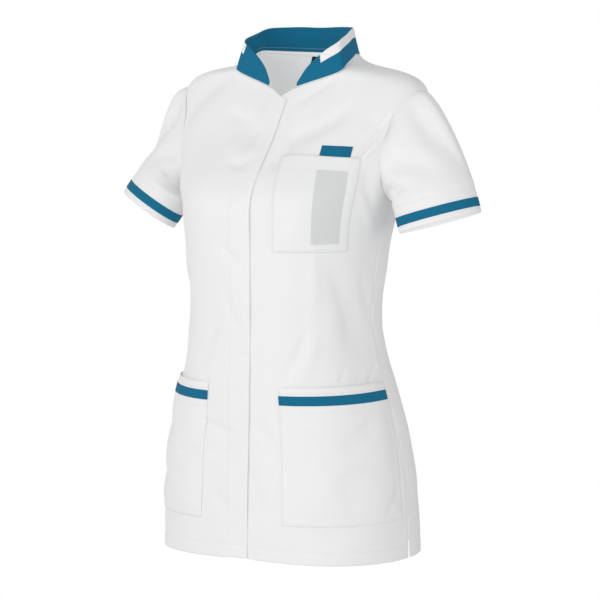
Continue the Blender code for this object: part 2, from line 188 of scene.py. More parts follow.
def add_sky():
    """An even sky that is tilted a little for the cloth and plain white where the camera sees it."""
    world = bpy.data.worlds.new("sky")
    world.use_nodes = True
    tree = world.node_tree
    seen = node(tree, "ShaderNodeLightPath").outputs["Is Camera Ray"]
    way = node(tree, "ShaderNodeTexCoord").outputs["Generated"]
    tilt = node(tree, "ShaderNodeVectorMath", {0: way, 1: SKY_TILT}, operation="DOT_PRODUCT")
    lit = calculate(tree, "ADD", tilt.outputs["Value"], SKY_STRENGTH)
    strength = node(tree, "ShaderNodeMapRange", {"Value": seen, "To Min": lit, "To Max": SKY_SEEN})
    fill(tree, tree.nodes["Background"], {"Color": PLAIN_WHITE, "Strength": strength.outputs["Result"]})
    scene.world = world


add_floor()
add_lights()
add_sky()
scene.view_settings.view_transform = "Standard"
print("lights:", [row[0] for row in LIGHTS])

# %% [markdown]
# The body of the garment is one smooth form, read from horizontal sections: half width,
# front and back depth, and how square each half is. The sections are the pattern cutter's
# measures of the worn garment, and the frame's solids were made from the same ones.

# %% Sections of the form
LAP = 0.013
ARMPIT_Z = -0.195
SHOULDER_TIP_Z = -0.044
NECK_FRONT_Z = -0.0535
NECK_BACK_Z = 0.0
NECK_SIDE_Z = 0.004
BREAST_MOUTH_Z = -0.130
NECK_LAP_DROP = 0.0055
SEAM_GAP = 0.0003

SECTION_COLUMNS = ("z", "half_width", "front", "back", "side_y", "front_power", "back_power")
SECTIONS = np.array((
    (-0.760, 0.190, 0.171, 0.127, -0.015, 2.5, 2.3),
    (-0.700, 0.188, 0.171, 0.125, -0.015, 2.5, 2.3),
    (-0.600, 0.182, 0.169, 0.120, -0.018, 2.5, 2.3),
    (-0.500, 0.165, 0.165, 0.099, -0.022, 2.5, 2.3),
    (-0.420, 0.142, 0.163, 0.083, -0.028, 2.5, 2.3),
    (-0.370, 0.136, 0.162, 0.075, -0.030, 2.6, 2.3),
    (-0.300, 0.139, 0.162, 0.088, -0.028, 2.6, 2.3),
    (-0.245, 0.145, 0.162, 0.100, -0.020, 2.6, 2.3),
    (-0.195, 0.158, 0.159, 0.107, -0.010, 2.6, 2.3),
    (-0.150, 0.175, 0.131, 0.110, 0.000, 2.5, 2.4),
    (-0.110, 0.188, 0.096, 0.107, 0.004, 2.5, 2.4),
    (-0.075, 0.193, 0.071, 0.098, 0.008, 2.5, 2.5),
    (-0.044, 0.191, 0.050, 0.088, 0.014, 2.5, 2.5),
    (-0.0145, 0.126, 0.042, 0.081, 0.020, 2.4, 2.4),
    (0.006, 0.078, 0.033, 0.077, 0.022, 2.1, 2.1),
    (0.043, 0.070, 0.028, 0.074, 0.028, 2.1, 2.1),
))
BUST_FULLNESS = 0.006
BUST_X = 0.085
BUST_Z = -0.215
BUST_SPREAD_X = 0.050
BUST_SPREAD_Z = 0.060


def spline_read(knots, values, at):
    """The smooth curve through the values, free at its ends, read at these places."""
    count = len(knots)
    gaps = np.diff(knots)
    slopes = np.diff(values) / gaps
    matrix = np.eye(count)
    right = np.zeros(count)
    for i in range(1, count - 1):
        matrix[i, i - 1:i + 2] = gaps[i - 1], 2.0 * (gaps[i - 1] + gaps[i]), gaps[i]
        right[i] = 6.0 * (slopes[i] - slopes[i - 1])
    bends = np.linalg.solve(matrix, right)
    i = np.clip(np.searchsorted(knots, at) - 1, 0, len(knots) - 2)
    gap = knots[i + 1] - knots[i]
    a = (knots[i + 1] - at) / gap
    b = (at - knots[i]) / gap
    curve = ((a ** 3 - a) * bends[i] + (b ** 3 - b) * bends[i + 1]) * gap * gap / 6.0
    return a * values[i] + b * values[i + 1] + curve


# %% [markdown]
# Reading the form point by point would be slow in Python, so the sections are first laid
# out as two tables, front and back: one line for every 2 mm of height and one place for
# every small share of the way from the centre to the side. Any grid of points is then one
# array operation.

# %% The form as tables
TABLE_LOW = -0.756
TABLE_STEP = 0.002
TABLE_LINES = 394
SHARE_STEPS = 400
TURN_STEPS = 240
PROFILE_STEPS = 1500


class Form:
    """The garment's outer surface, read by share of the way round and height."""

    def __init__(self):
        z, width = SECTIONS[:, 0], SECTIONS[:, 1]
        knots = walk(np.stack([z, width], axis=1))
        fine = np.linspace(0.0, knots[-1], PROFILE_STEPS)
        fine_z = spline_read(knots, z, fine)
        heights = TABLE_LOW + TABLE_STEP * np.arange(TABLE_LINES)
        at = np.interp(heights, fine_z, fine)
        read = {name: spline_read(knots, values, at) for name, values in zip(SECTION_COLUMNS, SECTIONS.T)}
        turn = np.linspace(0.0, math.pi / 2, TURN_STEPS)
        shares = np.linspace(0.0, 1.0, SHARE_STEPS)
        self.tables = {}
        for back in (False, True):
            sign = 1.0 if back else -1.0
            depth = read["back"] - read["side_y"] if back else read["front"] + read["side_y"]
            power = 2.0 / read["back_power" if back else "front_power"][:, None]
            x = read["half_width"][:, None] * np.sin(turn) ** power
            y = depth[:, None] * np.clip(np.cos(turn), 0.0, 1.0) ** power
            y = read["side_y"][:, None] + sign * y
            length = np.array([walk(line) for line in np.stack([x, y], axis=-1)])
            girth = length[:, -1]
            even = [np.stack([np.interp(shares * g, line, px), np.interp(shares * g, line, py)], axis=1)
                    for g, line, px, py in zip(girth, length, x, y)]
            self.tables[back] = (np.array(even), girth)

    def weights(self, z):
        """The table line below each height and the four smooth weights of the lines round it."""
        at = np.clip((np.asarray(z) - TABLE_LOW) / TABLE_STEP, 1.0, TABLE_LINES - 3.0)
        line = np.minimum(at.astype(int), TABLE_LINES - 3)
        return line, curve_weights(at - line)

    def girth(self, z, back):
        line, w = self.weights(z)
        return sum(w[k] * self.tables[back][1][line - 1 + k] for k in range(4))

    def points(self, share, z, back=False):
        share, z = np.broadcast_arrays(np.asarray(share, float), np.asarray(z, float))
        line, w = self.weights(z)
        table = self.tables[back][0]
        at = np.clip(np.abs(share), 0.0, 1.0) * (SHARE_STEPS - 1)
        place = np.minimum(at.astype(int), SHARE_STEPS - 2)
        part = (at - place)[..., None]
        x, y = np.moveaxis(sum(w[k][..., None] * (table[line - 1 + k, place] * (1.0 - part)
                                                  + table[line - 1 + k, place + 1] * part)
                               for k in range(4)), -1, 0)
        if not back:
            across = (x - BUST_X) / BUST_SPREAD_X
            upright = (z - BUST_Z) / BUST_SPREAD_Z
            y = y - BUST_FULLNESS * np.exp(-across ** 2 - upright ** 2)
        return np.stack([np.where(share < 0.0, -x, x), y, z], axis=-1)


def curve_weights(f):
    """Weights of four neighbours for a smooth curve through the middle two, at share f between them."""
    return (
        -0.5 * f + f * f - 0.5 * f ** 3,
        1.0 - 2.5 * f * f + 1.5 * f ** 3,
        0.5 * f + 2.0 * f * f - 1.5 * f ** 3,
        -0.5 * f * f + 0.5 * f ** 3,
    )


form = Form()
print("girth of half the front at the waist:", round(float(form.girth(-0.37, False)), 3))

# %% [markdown]
# Each panel is cut by a coarse net of named rows and columns: the hem, the pocket edges,
# the armhole. The net only holds where a point lies on the form, as a share and a height.
# The net is then refined with smooth curves, and only after that read from the form, so a
# fine cloth grid still has every seam exactly where the coarse net has it.

# %% Net of the panels
SLIT_TOP_Z = -0.612
ROWS = (
    # name, front_z, side_z, back_z, steps to the next row, fine steps in each
    ("hem", -0.699, -0.707, -0.707, 1, 8),
    ("hem_line", -0.681, -0.689, -0.689, 1, 14),
    ("pocket_foot", -0.649, -0.649, -0.649, 1, 13),
    ("slit_top", SLIT_TOP_Z, SLIT_TOP_Z, SLIT_TOP_Z, 4, 12),
    ("stripe_foot", -0.480, -0.480, -0.480, 1, 5),
    ("stripe_head", -0.467, -0.467, -0.467, 1, 5),
    ("pocket_mouth", -0.455, -0.455, -0.455, 6, 11),
    ("breast_foot", -0.266, -0.266, -0.266, 3, 9),
    ("armpit", ARMPIT_Z, ARMPIT_Z, ARMPIT_Z, 0, 0),
)
SLIT_FOOT_Z = -0.707
SLIT_HALF_OPEN = 0.003
ARMHOLE_STEPS = 12
SHOULDER_STEPS = 4
FINE_STEPS = 5
MOUTH_STEP = 5
INNER_MOUTH_STEP = 6
ARMHOLE_CUT_FRONT = 0.265
ARMHOLE_CUT_BACK = 0.170
FRONT_SHARES = (0.10, 0.19, 0.24, 0.33, 0.425, 0.48, 0.535, 0.60, 0.66, 0.72, 0.79, 0.87, 0.95, 1.0)
FRONT_PARTS = (8, 8, 6, 9, 5, 8, 8, 7, 7, 7, 6, 6, 7, 8, 8, 6)
BACK_SHARES = (0.0, 0.1, 0.2, 0.3, 0.4, 0.5, 0.6, 0.68, 0.76, 0.84, 0.92, 1.0)
BACK_PARTS = 7
FRONT_FIXED_SHARE = 0.66
BACK_FIXED_SHARE = 0.60
NECK_POWER = 0.70
LEAN_Z = (-0.400, -0.266, -0.130, -0.050)
LEAN_SHARE = (0.0, 0.020, -0.046, 0.0)
LEAN_FROM = 0.19
LEAN_UNTIL = 0.66
LOCAL_LEANS = (
    # heights, lean at each, shares, strength at each: the hip pocket's edge, then the breast pocket's
    ((-0.600, -0.490, -0.455, -0.400), (0.0, 0.020, 0.026, 0.0), (0.66, 0.95, 1.0), (0.0, 1.0, 0.0)),
    ((-0.266, -0.232, -0.198, -0.164, -0.130), (0.0, 0.012, 0.016, 0.012, 0.0),
     (0.0, 0.19, 0.60), (0.0, 1.0, 0.0)),
)
LAP_LIFT = 0.0014
LAP_FADE = 0.040
LAP_TUCK = 0.0005


def panel_rows():
    """Front, side and back height of every row of the net, and how far the armhole cuts in."""
    rows = []
    for here, above in zip(ROWS, ROWS[1:]):
        for step in range(here[4]):
            share = step / here[4]
            rows.append([here[k] + (above[k] - here[k]) * share for k in (1, 2, 3)] + [0.0])
    climb = ARMHOLE_STEPS + SHOULDER_STEPS
    for step in range(climb + 1):
        turn = math.pi * min(step / ARMHOLE_STEPS, 1.0)
        side_z = ARMPIT_Z + (SHOULDER_TIP_Z - ARMPIT_Z) * (1.0 - math.cos(turn)) / 2.0
        side_z += (NECK_SIDE_Z - SHOULDER_TIP_Z) * max(step - ARMHOLE_STEPS, 0) / SHOULDER_STEPS
        front_z = float(np.interp(step, (0, MOUTH_STEP, climb), (ARMPIT_Z, BREAST_MOUTH_Z, NECK_FRONT_Z)))
        back_z = ARMPIT_Z + (NECK_BACK_Z - ARMPIT_Z) * step / climb
        cut = math.sin(turn) if step <= ARMHOLE_STEPS else 0.0
        rows.append([front_z, side_z, back_z, cut])
    return np.array(rows)


def row_named(name):
    place = [row[0] for row in ROWS].index(name)
    return sum(row[4] for row in ROWS[:place])


def fine_places(parts):
    """Fractional places along the net, with this many fine steps in each of its intervals."""
    places = [i + step / count for i, count in enumerate(parts) for step in range(count)]
    return np.array(places + [float(len(parts))])


def between(values, places):
    """Values read at fractional places of their first axis, on smooth curves through them."""
    longer = np.concatenate([[2 * values[0] - values[1]], values, [2 * values[-1] - values[-2]]])
    low = np.clip(np.floor(places).astype(int), 0, len(values) - 2)
    shape = (-1,) + (1,) * (values.ndim - 1)
    return sum(w.reshape(shape) * longer[low + k] for k, w in enumerate(curve_weights(places - low)))


def refined(net, row_places, column_places):
    return between(between(net, row_places).swapaxes(0, 1), column_places).swapaxes(0, 1)


def edge_share(share, fixed, cut, girth, z):
    """Columns keep their share up to the fixed one, and close up beyond it by armhole and slit."""
    slit = SLIT_HALF_OPEN * np.clip((SLIT_TOP_Z - z) / (SLIT_TOP_Z - SLIT_FOOT_Z), 0.0, 1.0)
    edge = 1.0 - cut - (SEAM_GAP + slit) / girth
    return np.where(share <= fixed, share, fixed + (share - fixed) / (1.0 - fixed) * (edge - fixed))


def neck_weight(share):
    """How far a column has climbed, 0 to 1, from the front neck to the shoulder's neck end."""
    return share ** NECK_POWER


def front_net(rows):
    """Share and height of every point of the left front's net, from the lap edge to the side."""
    front_z, side_z, _, cut = rows.T
    shares, heights = [], []
    lap_weight = neck_weight(LAP / float(form.girth(NECK_FRONT_Z, False)))
    for place in (-LAP, 0.0, LAP):
        z = front_z.copy()
        z[-1] += -NECK_LAP_DROP if place < 0.0 else (side_z[-1] - front_z[-1]) * lap_weight * (place > 0.0)
        shares.append(place / form.girth(z, False))
        heights.append(z)
    for share in FRONT_SHARES:
        z = front_z + (side_z - front_z) * neck_weight(share)
        at = edge_share(share, FRONT_FIXED_SHARE, ARMHOLE_CUT_FRONT * cut, form.girth(z, False), z)
        reach = smooth(share / LEAN_FROM) * smooth((1.0 - share) / (1.0 - LEAN_UNTIL))
        at = at + np.interp(z, LEAN_Z, LEAN_SHARE) * reach
        for heights_at, size, shares_at, strength in LOCAL_LEANS:
            at = at + np.interp(z, heights_at, size) * np.interp(share, shares_at, strength)
        shares.append(at)
        heights.append(z)
    return np.array(shares).T, np.array(heights).T


def back_net(rows):
    """Share and height of every point of the back's net, from the right side to the left."""
    _, side_z, back_z, cut = rows.T
    shares, heights = [], []
    for share in BACK_SHARES:
        z = back_z + (side_z - back_z) * float(smooth(share))
        shares.append(edge_share(share, BACK_FIXED_SHARE, ARMHOLE_CUT_BACK * cut, form.girth(z, True), z))
        heights.append(z)
    shares = [-line for line in shares[:0:-1]] + shares
    heights = heights[:0:-1] + heights
    return np.array(shares).T, np.array(heights).T


class Panel:
    """A cloth grid: its points, and each point's distance round (s) and height (z) on the flat cut."""

    def __init__(self, net, rows_at, columns_at, back=False):
        share = refined(net[0], rows_at, columns_at)
        self.z = refined(net[1], rows_at, columns_at)
        self.s = share * form.girth(self.z, back)
        self.points = form.points(share, self.z, back)
        self.rows_at = rows_at
        self.columns_at = columns_at

    def row(self, place):
        return int(np.argmin(np.abs(self.rows_at - place)))

    def column(self, place):
        return int(np.argmin(np.abs(self.columns_at - place)))


def front_column(share):
    return FRONT_SHARES.index(share) + 3


rows = panel_rows()
rows_at = fine_places([row[5] for row in ROWS for _ in range(row[4])]
                      + [FINE_STEPS] * (ARMHOLE_STEPS + SHOULDER_STEPS))
front = Panel(front_net(rows), rows_at, fine_places(FRONT_PARTS))
back = Panel(back_net(rows), rows_at, fine_places((BACK_PARTS,) * (2 * len(BACK_SHARES) - 2)), back=True)
print("front grid:", front.points.shape[:2], "back grid:", back.points.shape[:2])

# %% [markdown]
# Worn cotton is never a perfect form. It hangs from the shoulders and the bust, pulls
# towards the fastened studs and buckles softly above the pockets. A cloth simulation
# would scatter such folds anywhere, so they are placed one by one: each row of a table is
# one soft trough or ridge, from one place on the cut to another, with its own width and depth.

# %% Folds
FOLD_GAIN = 1.75
LEFT_FOLDS = (
    # s and z at one end, s and z at the other, half width, depth, lean, bow
    (0.09, -0.018, 0.02, -0.07, 0.006, -0.0012, 0.0, 0.002),
    (0.118, -0.06, 0.036, -0.11, 0.014, -0.0024, 0.3, 0.008),
    (0.05, -0.098, 0.02, -0.158, 0.011, -0.002, -0.2, 0.004),
    (0.12, -0.088, 0.052, -0.128, 0.015, 0.0014, 0.0, 0.006),
    (0.146, -0.142, 0.173, -0.074, 0.0045, -0.0026, 0.3, -0.003),
    (0.156, -0.138, 0.183, -0.078, 0.0055, 0.0022, 0.0, -0.003),
    (0.13, -0.128, 0.16, -0.078, 0.011, -0.0016, 0.0, -0.004),
    (0.205, -0.205, 0.166, -0.15, 0.008, -0.0018, 0.0, 0.004),
    (0.215, -0.235, 0.178, -0.19, 0.01, 0.0012, 0.0, 0.004),
    (0.106, -0.25, 0.104, -0.365, 0.01, 0.0012, 0.0, 0.002),
    (0.13, -0.285, 0.172, -0.405, 0.02, -0.003, 0.2, 0.006),
    (0.185, -0.3, 0.222, -0.372, 0.012, -0.0012, 0.0, 0.0),
    (0.094, -0.378, 0.064, -0.455, 0.008, -0.0018, -0.3, 0.004),
    (0.11, -0.38, 0.084, -0.448, 0.01, 0.0012, 0.0, 0.004),
    (0.196, -0.453, 0.224, -0.428, 0.004, -0.0012, 0.0, 0.001),
    (0.143, -0.452, 0.156, -0.43, 0.0035, -0.0009, 0.0, 0.001),
    (0.172, -0.452, 0.19, -0.43, 0.0035, -0.0007, 0.0, 0.001),
    (0.02, -0.505, 0.06, -0.56, 0.012, -0.0016, 0.0, 0.004),
    (0.018, -0.57, 0.04, -0.64, 0.011, -0.0012, 0.0, -0.003),
    (0.1, -0.655, 0.15, -0.69, 0.014, -0.001, 0.0, 0.003),
    (0.225, -0.64, 0.262, -0.6, 0.008, -0.0014, 0.0, 0.002),
)
RIGHT_FOLDS = (
    (0.09, -0.022, 0.176, -0.098, 0.02, -0.0034, 0.2, 0.01),
    (0.075, -0.075, 0.004, -0.122, 0.013, -0.0024, 0.2, -0.006),
    (0.06, -0.118, 0.01, -0.135, 0.012, 0.0012, 0.0, 0.002),
    (0.046, -0.146, 0.0, -0.144, 0.0065, -0.0016, 0.0, 0.002),
    (0.19, -0.19, 0.15, -0.14, 0.009, -0.0016, 0.0, 0.004),
    (0.2, -0.225, 0.12, -0.19, 0.012, -0.0012, 0.0, 0.006),
    (0.036, -0.255, 0.0, -0.283, 0.006, -0.0013, 0.3, 0.002),
    (0.04, -0.285, 0.006, -0.3, 0.008, 0.0007, 0.0, 0.002),
    (0.026, -0.325, 0.002, -0.38, 0.0085, -0.0011, 0.0, 0.003),
    (0.045, -0.372, 0.082, -0.44, 0.01, -0.0014, 0.0, -0.003),
    (0.12, -0.3, 0.17, -0.4, 0.018, -0.0024, 0.0, 0.006),
    (0.074, -0.505, 0.002, -0.524, 0.006, -0.0016, 0.3, 0.003),
    (0.055, -0.56, 0.014, -0.532, 0.0065, -0.0011, 0.0, 0.002),
    (0.05, -0.6, 0.01, -0.64, 0.011, -0.001, 0.0, 0.003),
    (0.066, -0.445, 0.058, -0.462, 0.0035, -0.0009, 0.0, 0.001),
)
BACK_FOLDS = (
    (-0.15, -0.06, -0.06, -0.12, 0.016, -0.0024, 0.2, 0.008),
    (0.15, -0.055, 0.055, -0.115, 0.017, -0.0022, -0.2, -0.008),
    (-0.19, -0.215, -0.12, -0.15, 0.011, -0.002, 0.0, 0.006),
    (0.192, -0.21, 0.126, -0.158, 0.01, -0.0018, 0.0, -0.006),
    (-0.12, -0.33, 0.04, -0.352, 0.012, -0.0024, 0.2, 0.008),
    (0.13, -0.322, -0.02, -0.376, 0.013, -0.0022, 0.0, 0.006),
    (-0.15, -0.372, -0.03, -0.4, 0.011, -0.0018, 0.0, -0.006),
    (0.15, -0.384, 0.05, -0.42, 0.011, -0.0016, 0.0, 0.005),
    (-0.1, -0.3, -0.14, -0.18, 0.016, -0.0016, 0.0, 0.008),
    (0.104, -0.296, 0.138, -0.19, 0.017, -0.0015, 0.0, -0.008),
    (-0.11, -0.48, -0.135, -0.66, 0.024, -0.003, 0.0, 0.006),
    (0.02, -0.47, 0.034, -0.67, 0.026, -0.0026, 0.0, -0.006),
    (0.14, -0.48, 0.16, -0.65, 0.022, -0.0028, 0.0, 0.006),
    (-0.04, -0.5, -0.05, -0.68, 0.018, 0.002, 0.0, 0.004),
)


def fold_relief(s, z, folds):
    """How far the cloth stands out at every point, from a table of soft troughs and ridges."""
    relief = np.zeros_like(s)
    for s0, z0, s1, z1, half_width, depth, lean, bow in folds:
        length = math.hypot(s1 - s0, z1 - z0)
        along_s, along_z = (s1 - s0) / length, (z1 - z0) / length
        t = ((s - s0) * along_s + (z - z0) * along_z) / length
        across = (z - z0) * along_s - (s - s0) * along_z
        across = across - bow * 4.0 * t * (1.0 - t)
        width = half_width * np.where(across > 0.0, 1.0 + lean, 1.0 - lean)
        width = width * (0.75 + 0.5 * np.clip(t, 0.0, 1.0))
        ends = smooth((t + 0.12) / 0.42) * smooth((1.12 - t) / 0.42)
        relief += FOLD_GAIN * depth * ends * np.exp(-(across / width) ** 2)
    return relief


# %% [markdown]
# Rows of stitches pull the layers together: the cloth dips on the seam line and puckers
# in short uneven waves beside it. A band of doubled cloth, such as a hem, stands slightly
# proud. Both are functions of the distance to a line on the cut.

# %% Seam dips, bands and puckers
PUCKER_WAVES = ((0.0113, 1.0, 0.4), (0.0172, 0.8, 2.1), (0.0291, 0.7, 4.0))


def waves(along, seed):
    """Short uneven waves along a seam, from -1 to 1."""
    total = sum(size * np.sin(2.0 * math.pi * along / length + phase * seed)
                for length, size, phase in PUCKER_WAVES)
    return total / sum(size for _, size, _ in PUCKER_WAVES)


def seam_dip(across, along, seed, dip=0.00035, half_width=0.0022, pucker=0.00022, reach=0.0070):
    trough = -dip * np.exp(-(across / half_width) ** 2)
    return trough + pucker * waves(along, seed) * np.exp(-np.abs(across) / reach)


def band(value, low, high, rise, soft=0.0015):
    """A doubled band between two lines, standing out by this rise."""
    return rise * smooth((value - low) / soft + 0.5) * smooth((high - value) / soft + 0.5)


def soft_noise(s, z, seed, size, depth):
    """Slow, uneven hills over the whole panel."""
    turn = np.random.default_rng(seed)
    total = np.zeros_like(s)
    for _ in range(9):
        angle = turn.uniform(0.0, math.pi)
        length = size * turn.uniform(0.6, 1.7)
        phase = turn.uniform(0.0, 2.0 * math.pi)
        total += np.sin(2.0 * math.pi * (s * math.cos(angle) + z * math.sin(angle)) / length + phase)
    return depth * total / 3.0


def grid_normals(grid, closed=False):
    """Unit normals of a grid, pointing away from the garment for panels read left to right."""
    up = np.gradient(grid, axis=0)
    along = np.roll(grid, -1, axis=1) - np.roll(grid, 1, axis=1) if closed else np.gradient(grid, axis=1)
    normal = np.cross(along, up)
    return unit(normal)


# %% [markdown]
# The fronts close with hidden press studs. Outside, each one shows as a faint ring with
# small puckers on both sides, and the lap's edge gapes a little between them.

# %% Fronts and back in relief
STUD_HEIGHTS = (-0.163, -0.289, -0.413, -0.543)
STUD_RING = 0.0048
STUD_RISE = 0.00035
STUD_DIP = 0.0006
STUD_PUCKER = 0.00045
STUD_PITCH = 0.0105
DOUBLED_RISE = 0.0003
ARMHOLE_PRESS = 0.0001
ARMHOLE_REACH = 0.0035
HILL_DEPTH = 0.0006
PLACKET_LINE = 0.020


def stud_relief(s, z):
    relief = np.zeros_like(s)
    for height in STUD_HEIGHTS:
        distance = np.hypot(s, z - height)
        relief += STUD_RISE * np.exp(-((distance - STUD_RING) / 0.0013) ** 2)
        relief -= STUD_DIP * np.exp(-(distance / 0.0090) ** 2)
        beside = np.exp(-((z - height) / 0.013) ** 2) * np.exp(-((np.abs(s) - 0.013) / 0.009) ** 2)
        relief += STUD_PUCKER * beside * np.sin(math.tau * (z - height) / STUD_PITCH)
    return relief


def lap_gape(z):
    """The lap's edge lies closer at each stud and stands off between them."""
    near = sum(np.exp(-((z - height) / 0.022) ** 2) for height in STUD_HEIGHTS)
    return 1.10 - 0.35 * np.clip(near, 0.0, 1.0)


def hem_relief(panel, seed):
    across = panel.z - panel.z[panel.row(row_named("hem_line"))]
    lower = smooth(-across / 0.0015 + 0.5) * DOUBLED_RISE
    return lower + seam_dip(across, panel.s, seed, pucker=0.00030)


def armhole_relief(panel, column):
    """The cloth beside the side seam and the armhole is pressed down a little."""
    distance = lengths(panel.points - panel.points[:, column][:, None])
    return -ARMHOLE_PRESS * np.exp(-(distance / ARMHOLE_REACH) ** 2)


front_normals = grid_normals(front.points)
shared = hem_relief(front, 1.0) + armhole_relief(front, -1)

left_relief = shared + fold_relief(front.s, front.z, LEFT_FOLDS)
left_relief += soft_noise(front.s, front.z, 3, 0.090, HILL_DEPTH)
left_relief = left_relief * smooth((front.s + 0.004) / 0.020)
left_relief -= LAP_TUCK * (1.0 - smooth((front.s - 0.008) / 0.010))
left_points = front.points + front_normals * left_relief[..., None]
left_normals = grid_normals(left_points)

right_relief = shared + fold_relief(front.s, front.z, RIGHT_FOLDS)
right_relief += soft_noise(front.s, front.z, 8, 0.090, HILL_DEPTH)
right_relief = right_relief * smooth((front.s + 0.020) / 0.020)
right_relief += stud_relief(front.s, front.z)
right_relief += band(front.s, -LAP - 0.01, PLACKET_LINE, DOUBLED_RISE)
right_relief += seam_dip(front.s - PLACKET_LINE, front.z, 2.0, dip=0.0002, pucker=0.00030, reach=0.012)
past = np.concatenate([[0.0, LAP, 2.0 * LAP], np.array(FRONT_SHARES) * 0.25 + LAP])
lift = LAP_LIFT * (1.0 - smooth((past - 2.0 * LAP) / LAP_FADE))
lift = between(lift, front.columns_at)[None, :] * lap_gape(front.z)
right_points = front.points + front_normals * (right_relief + lift)[..., None]
right_points = right_points * MIRROR
right_normals = -grid_normals(right_points)

back_normals = -grid_normals(back.points)
back_relief = hem_relief(back, 3.0) + fold_relief(back.s, back.z, BACK_FOLDS)
back_relief += armhole_relief(back, 0) + armhole_relief(back, -1)
back_relief += soft_noise(back.s, back.z, 5, 0.100, HILL_DEPTH)
back_points = back.points + back_normals * back_relief[..., None]
back_normals = -grid_normals(back_points)
print("deepest fold, mm:", round(float(-left_relief.min()) * 1000, 1))

# %% [markdown]
# The sleeves are set in: each ring of cloth starts on the armhole and turns into a flat
# oval at the hem. The rings between are smooth curves that leave the armhole in the
# cloth's own direction and meet the hem square.

# %% Sleeves
SLEEVES = (
    # side, hem centre, the way that the hem faces, long axis of the hem's oval, how full the top is
    ("left", (0.243, -0.030, -0.226), (0.29, 0.00, -0.957), (0.866, 0.50, 0.0), 0.50),
    ("right", (-0.227, -0.050, -0.223), (-0.49, -0.27, -0.84), (-0.866, 0.50, 0.0), 0.85),
)
SLEEVE_HEM_LONG = 0.059
SLEEVE_HEM_SHORT = 0.042
SLEEVE_BAND = 0.040
SLEEVE_STRIPE = (0.0210, 0.0085)
SLEEVE_PULL_UNDER = 0.50
SLEEVE_FACES_FROM = 0.30
SLEEVE_FACES_OVER = 0.60
SLEEVE_TUCK = 0.0025
SLEEVE_TUCK_DEPTH = 0.0002
SLEEVE_SINK = {"left": 0.00003, "right": 0.00030}
SLEEVE_RINGS = 30
SLEEVE_HEM_LINE = 0.034
SLEEVE_GIRTH = 2.0 * math.pi * 0.052
BAND_PARTS = (7, 5, 4)
# Folds of a sleeve: turn from the shoulder round the front (0 to 1), part of its length,
# then the same at the other end, half width as a part of the turn, depth in metres
SLEEVE_FOLDS = {
    "left": (
        (0.3, 0.02, 0.21, 0.8, 0.03, -0.002, 0.0, 0.01),
        (0.42, 0.02, 0.36, 0.7, 0.028, -0.003, 0.0, 0.02),
        (0.36, 0.05, 0.29, 0.65, 0.024, 0.0016, 0.0, 0.01),
        (0.1, 0.05, 0.13, 0.6, 0.035, -0.0014, 0.0, 0.0),
        (0.62, 0.02, 0.68, 0.75, 0.03, -0.0026, 0.0, 0.02),
        (0.74, 0.05, 0.8, 0.8, 0.032, -0.0018, 0.0, 0.01),
    ),
    "right": (
        (0.3, 0.02, 0.24, 0.75, 0.026, -0.0022, 0.0, 0.01),
        (0.4, 0.02, 0.33, 0.6, 0.024, -0.0026, 0.0, 0.02),
        (0.12, 0.1, 0.15, 0.8, 0.034, -0.0016, 0.0, 0.0),
        (0.6, 0.02, 0.66, 0.75, 0.03, -0.0026, 0.0, 0.02),
        (0.76, 0.05, 0.82, 0.8, 0.032, -0.0018, 0.0, 0.01),
    ),
}


def armhole_line(points, column, from_top):
    """One column of a panel beside the armhole, from the top down, or else from the foot up."""
    low = front.row(row_named("armpit"))
    line = points[low:low + ARMHOLE_STEPS * FINE_STEPS + 1, column]
    return line[::-1] if from_top else line


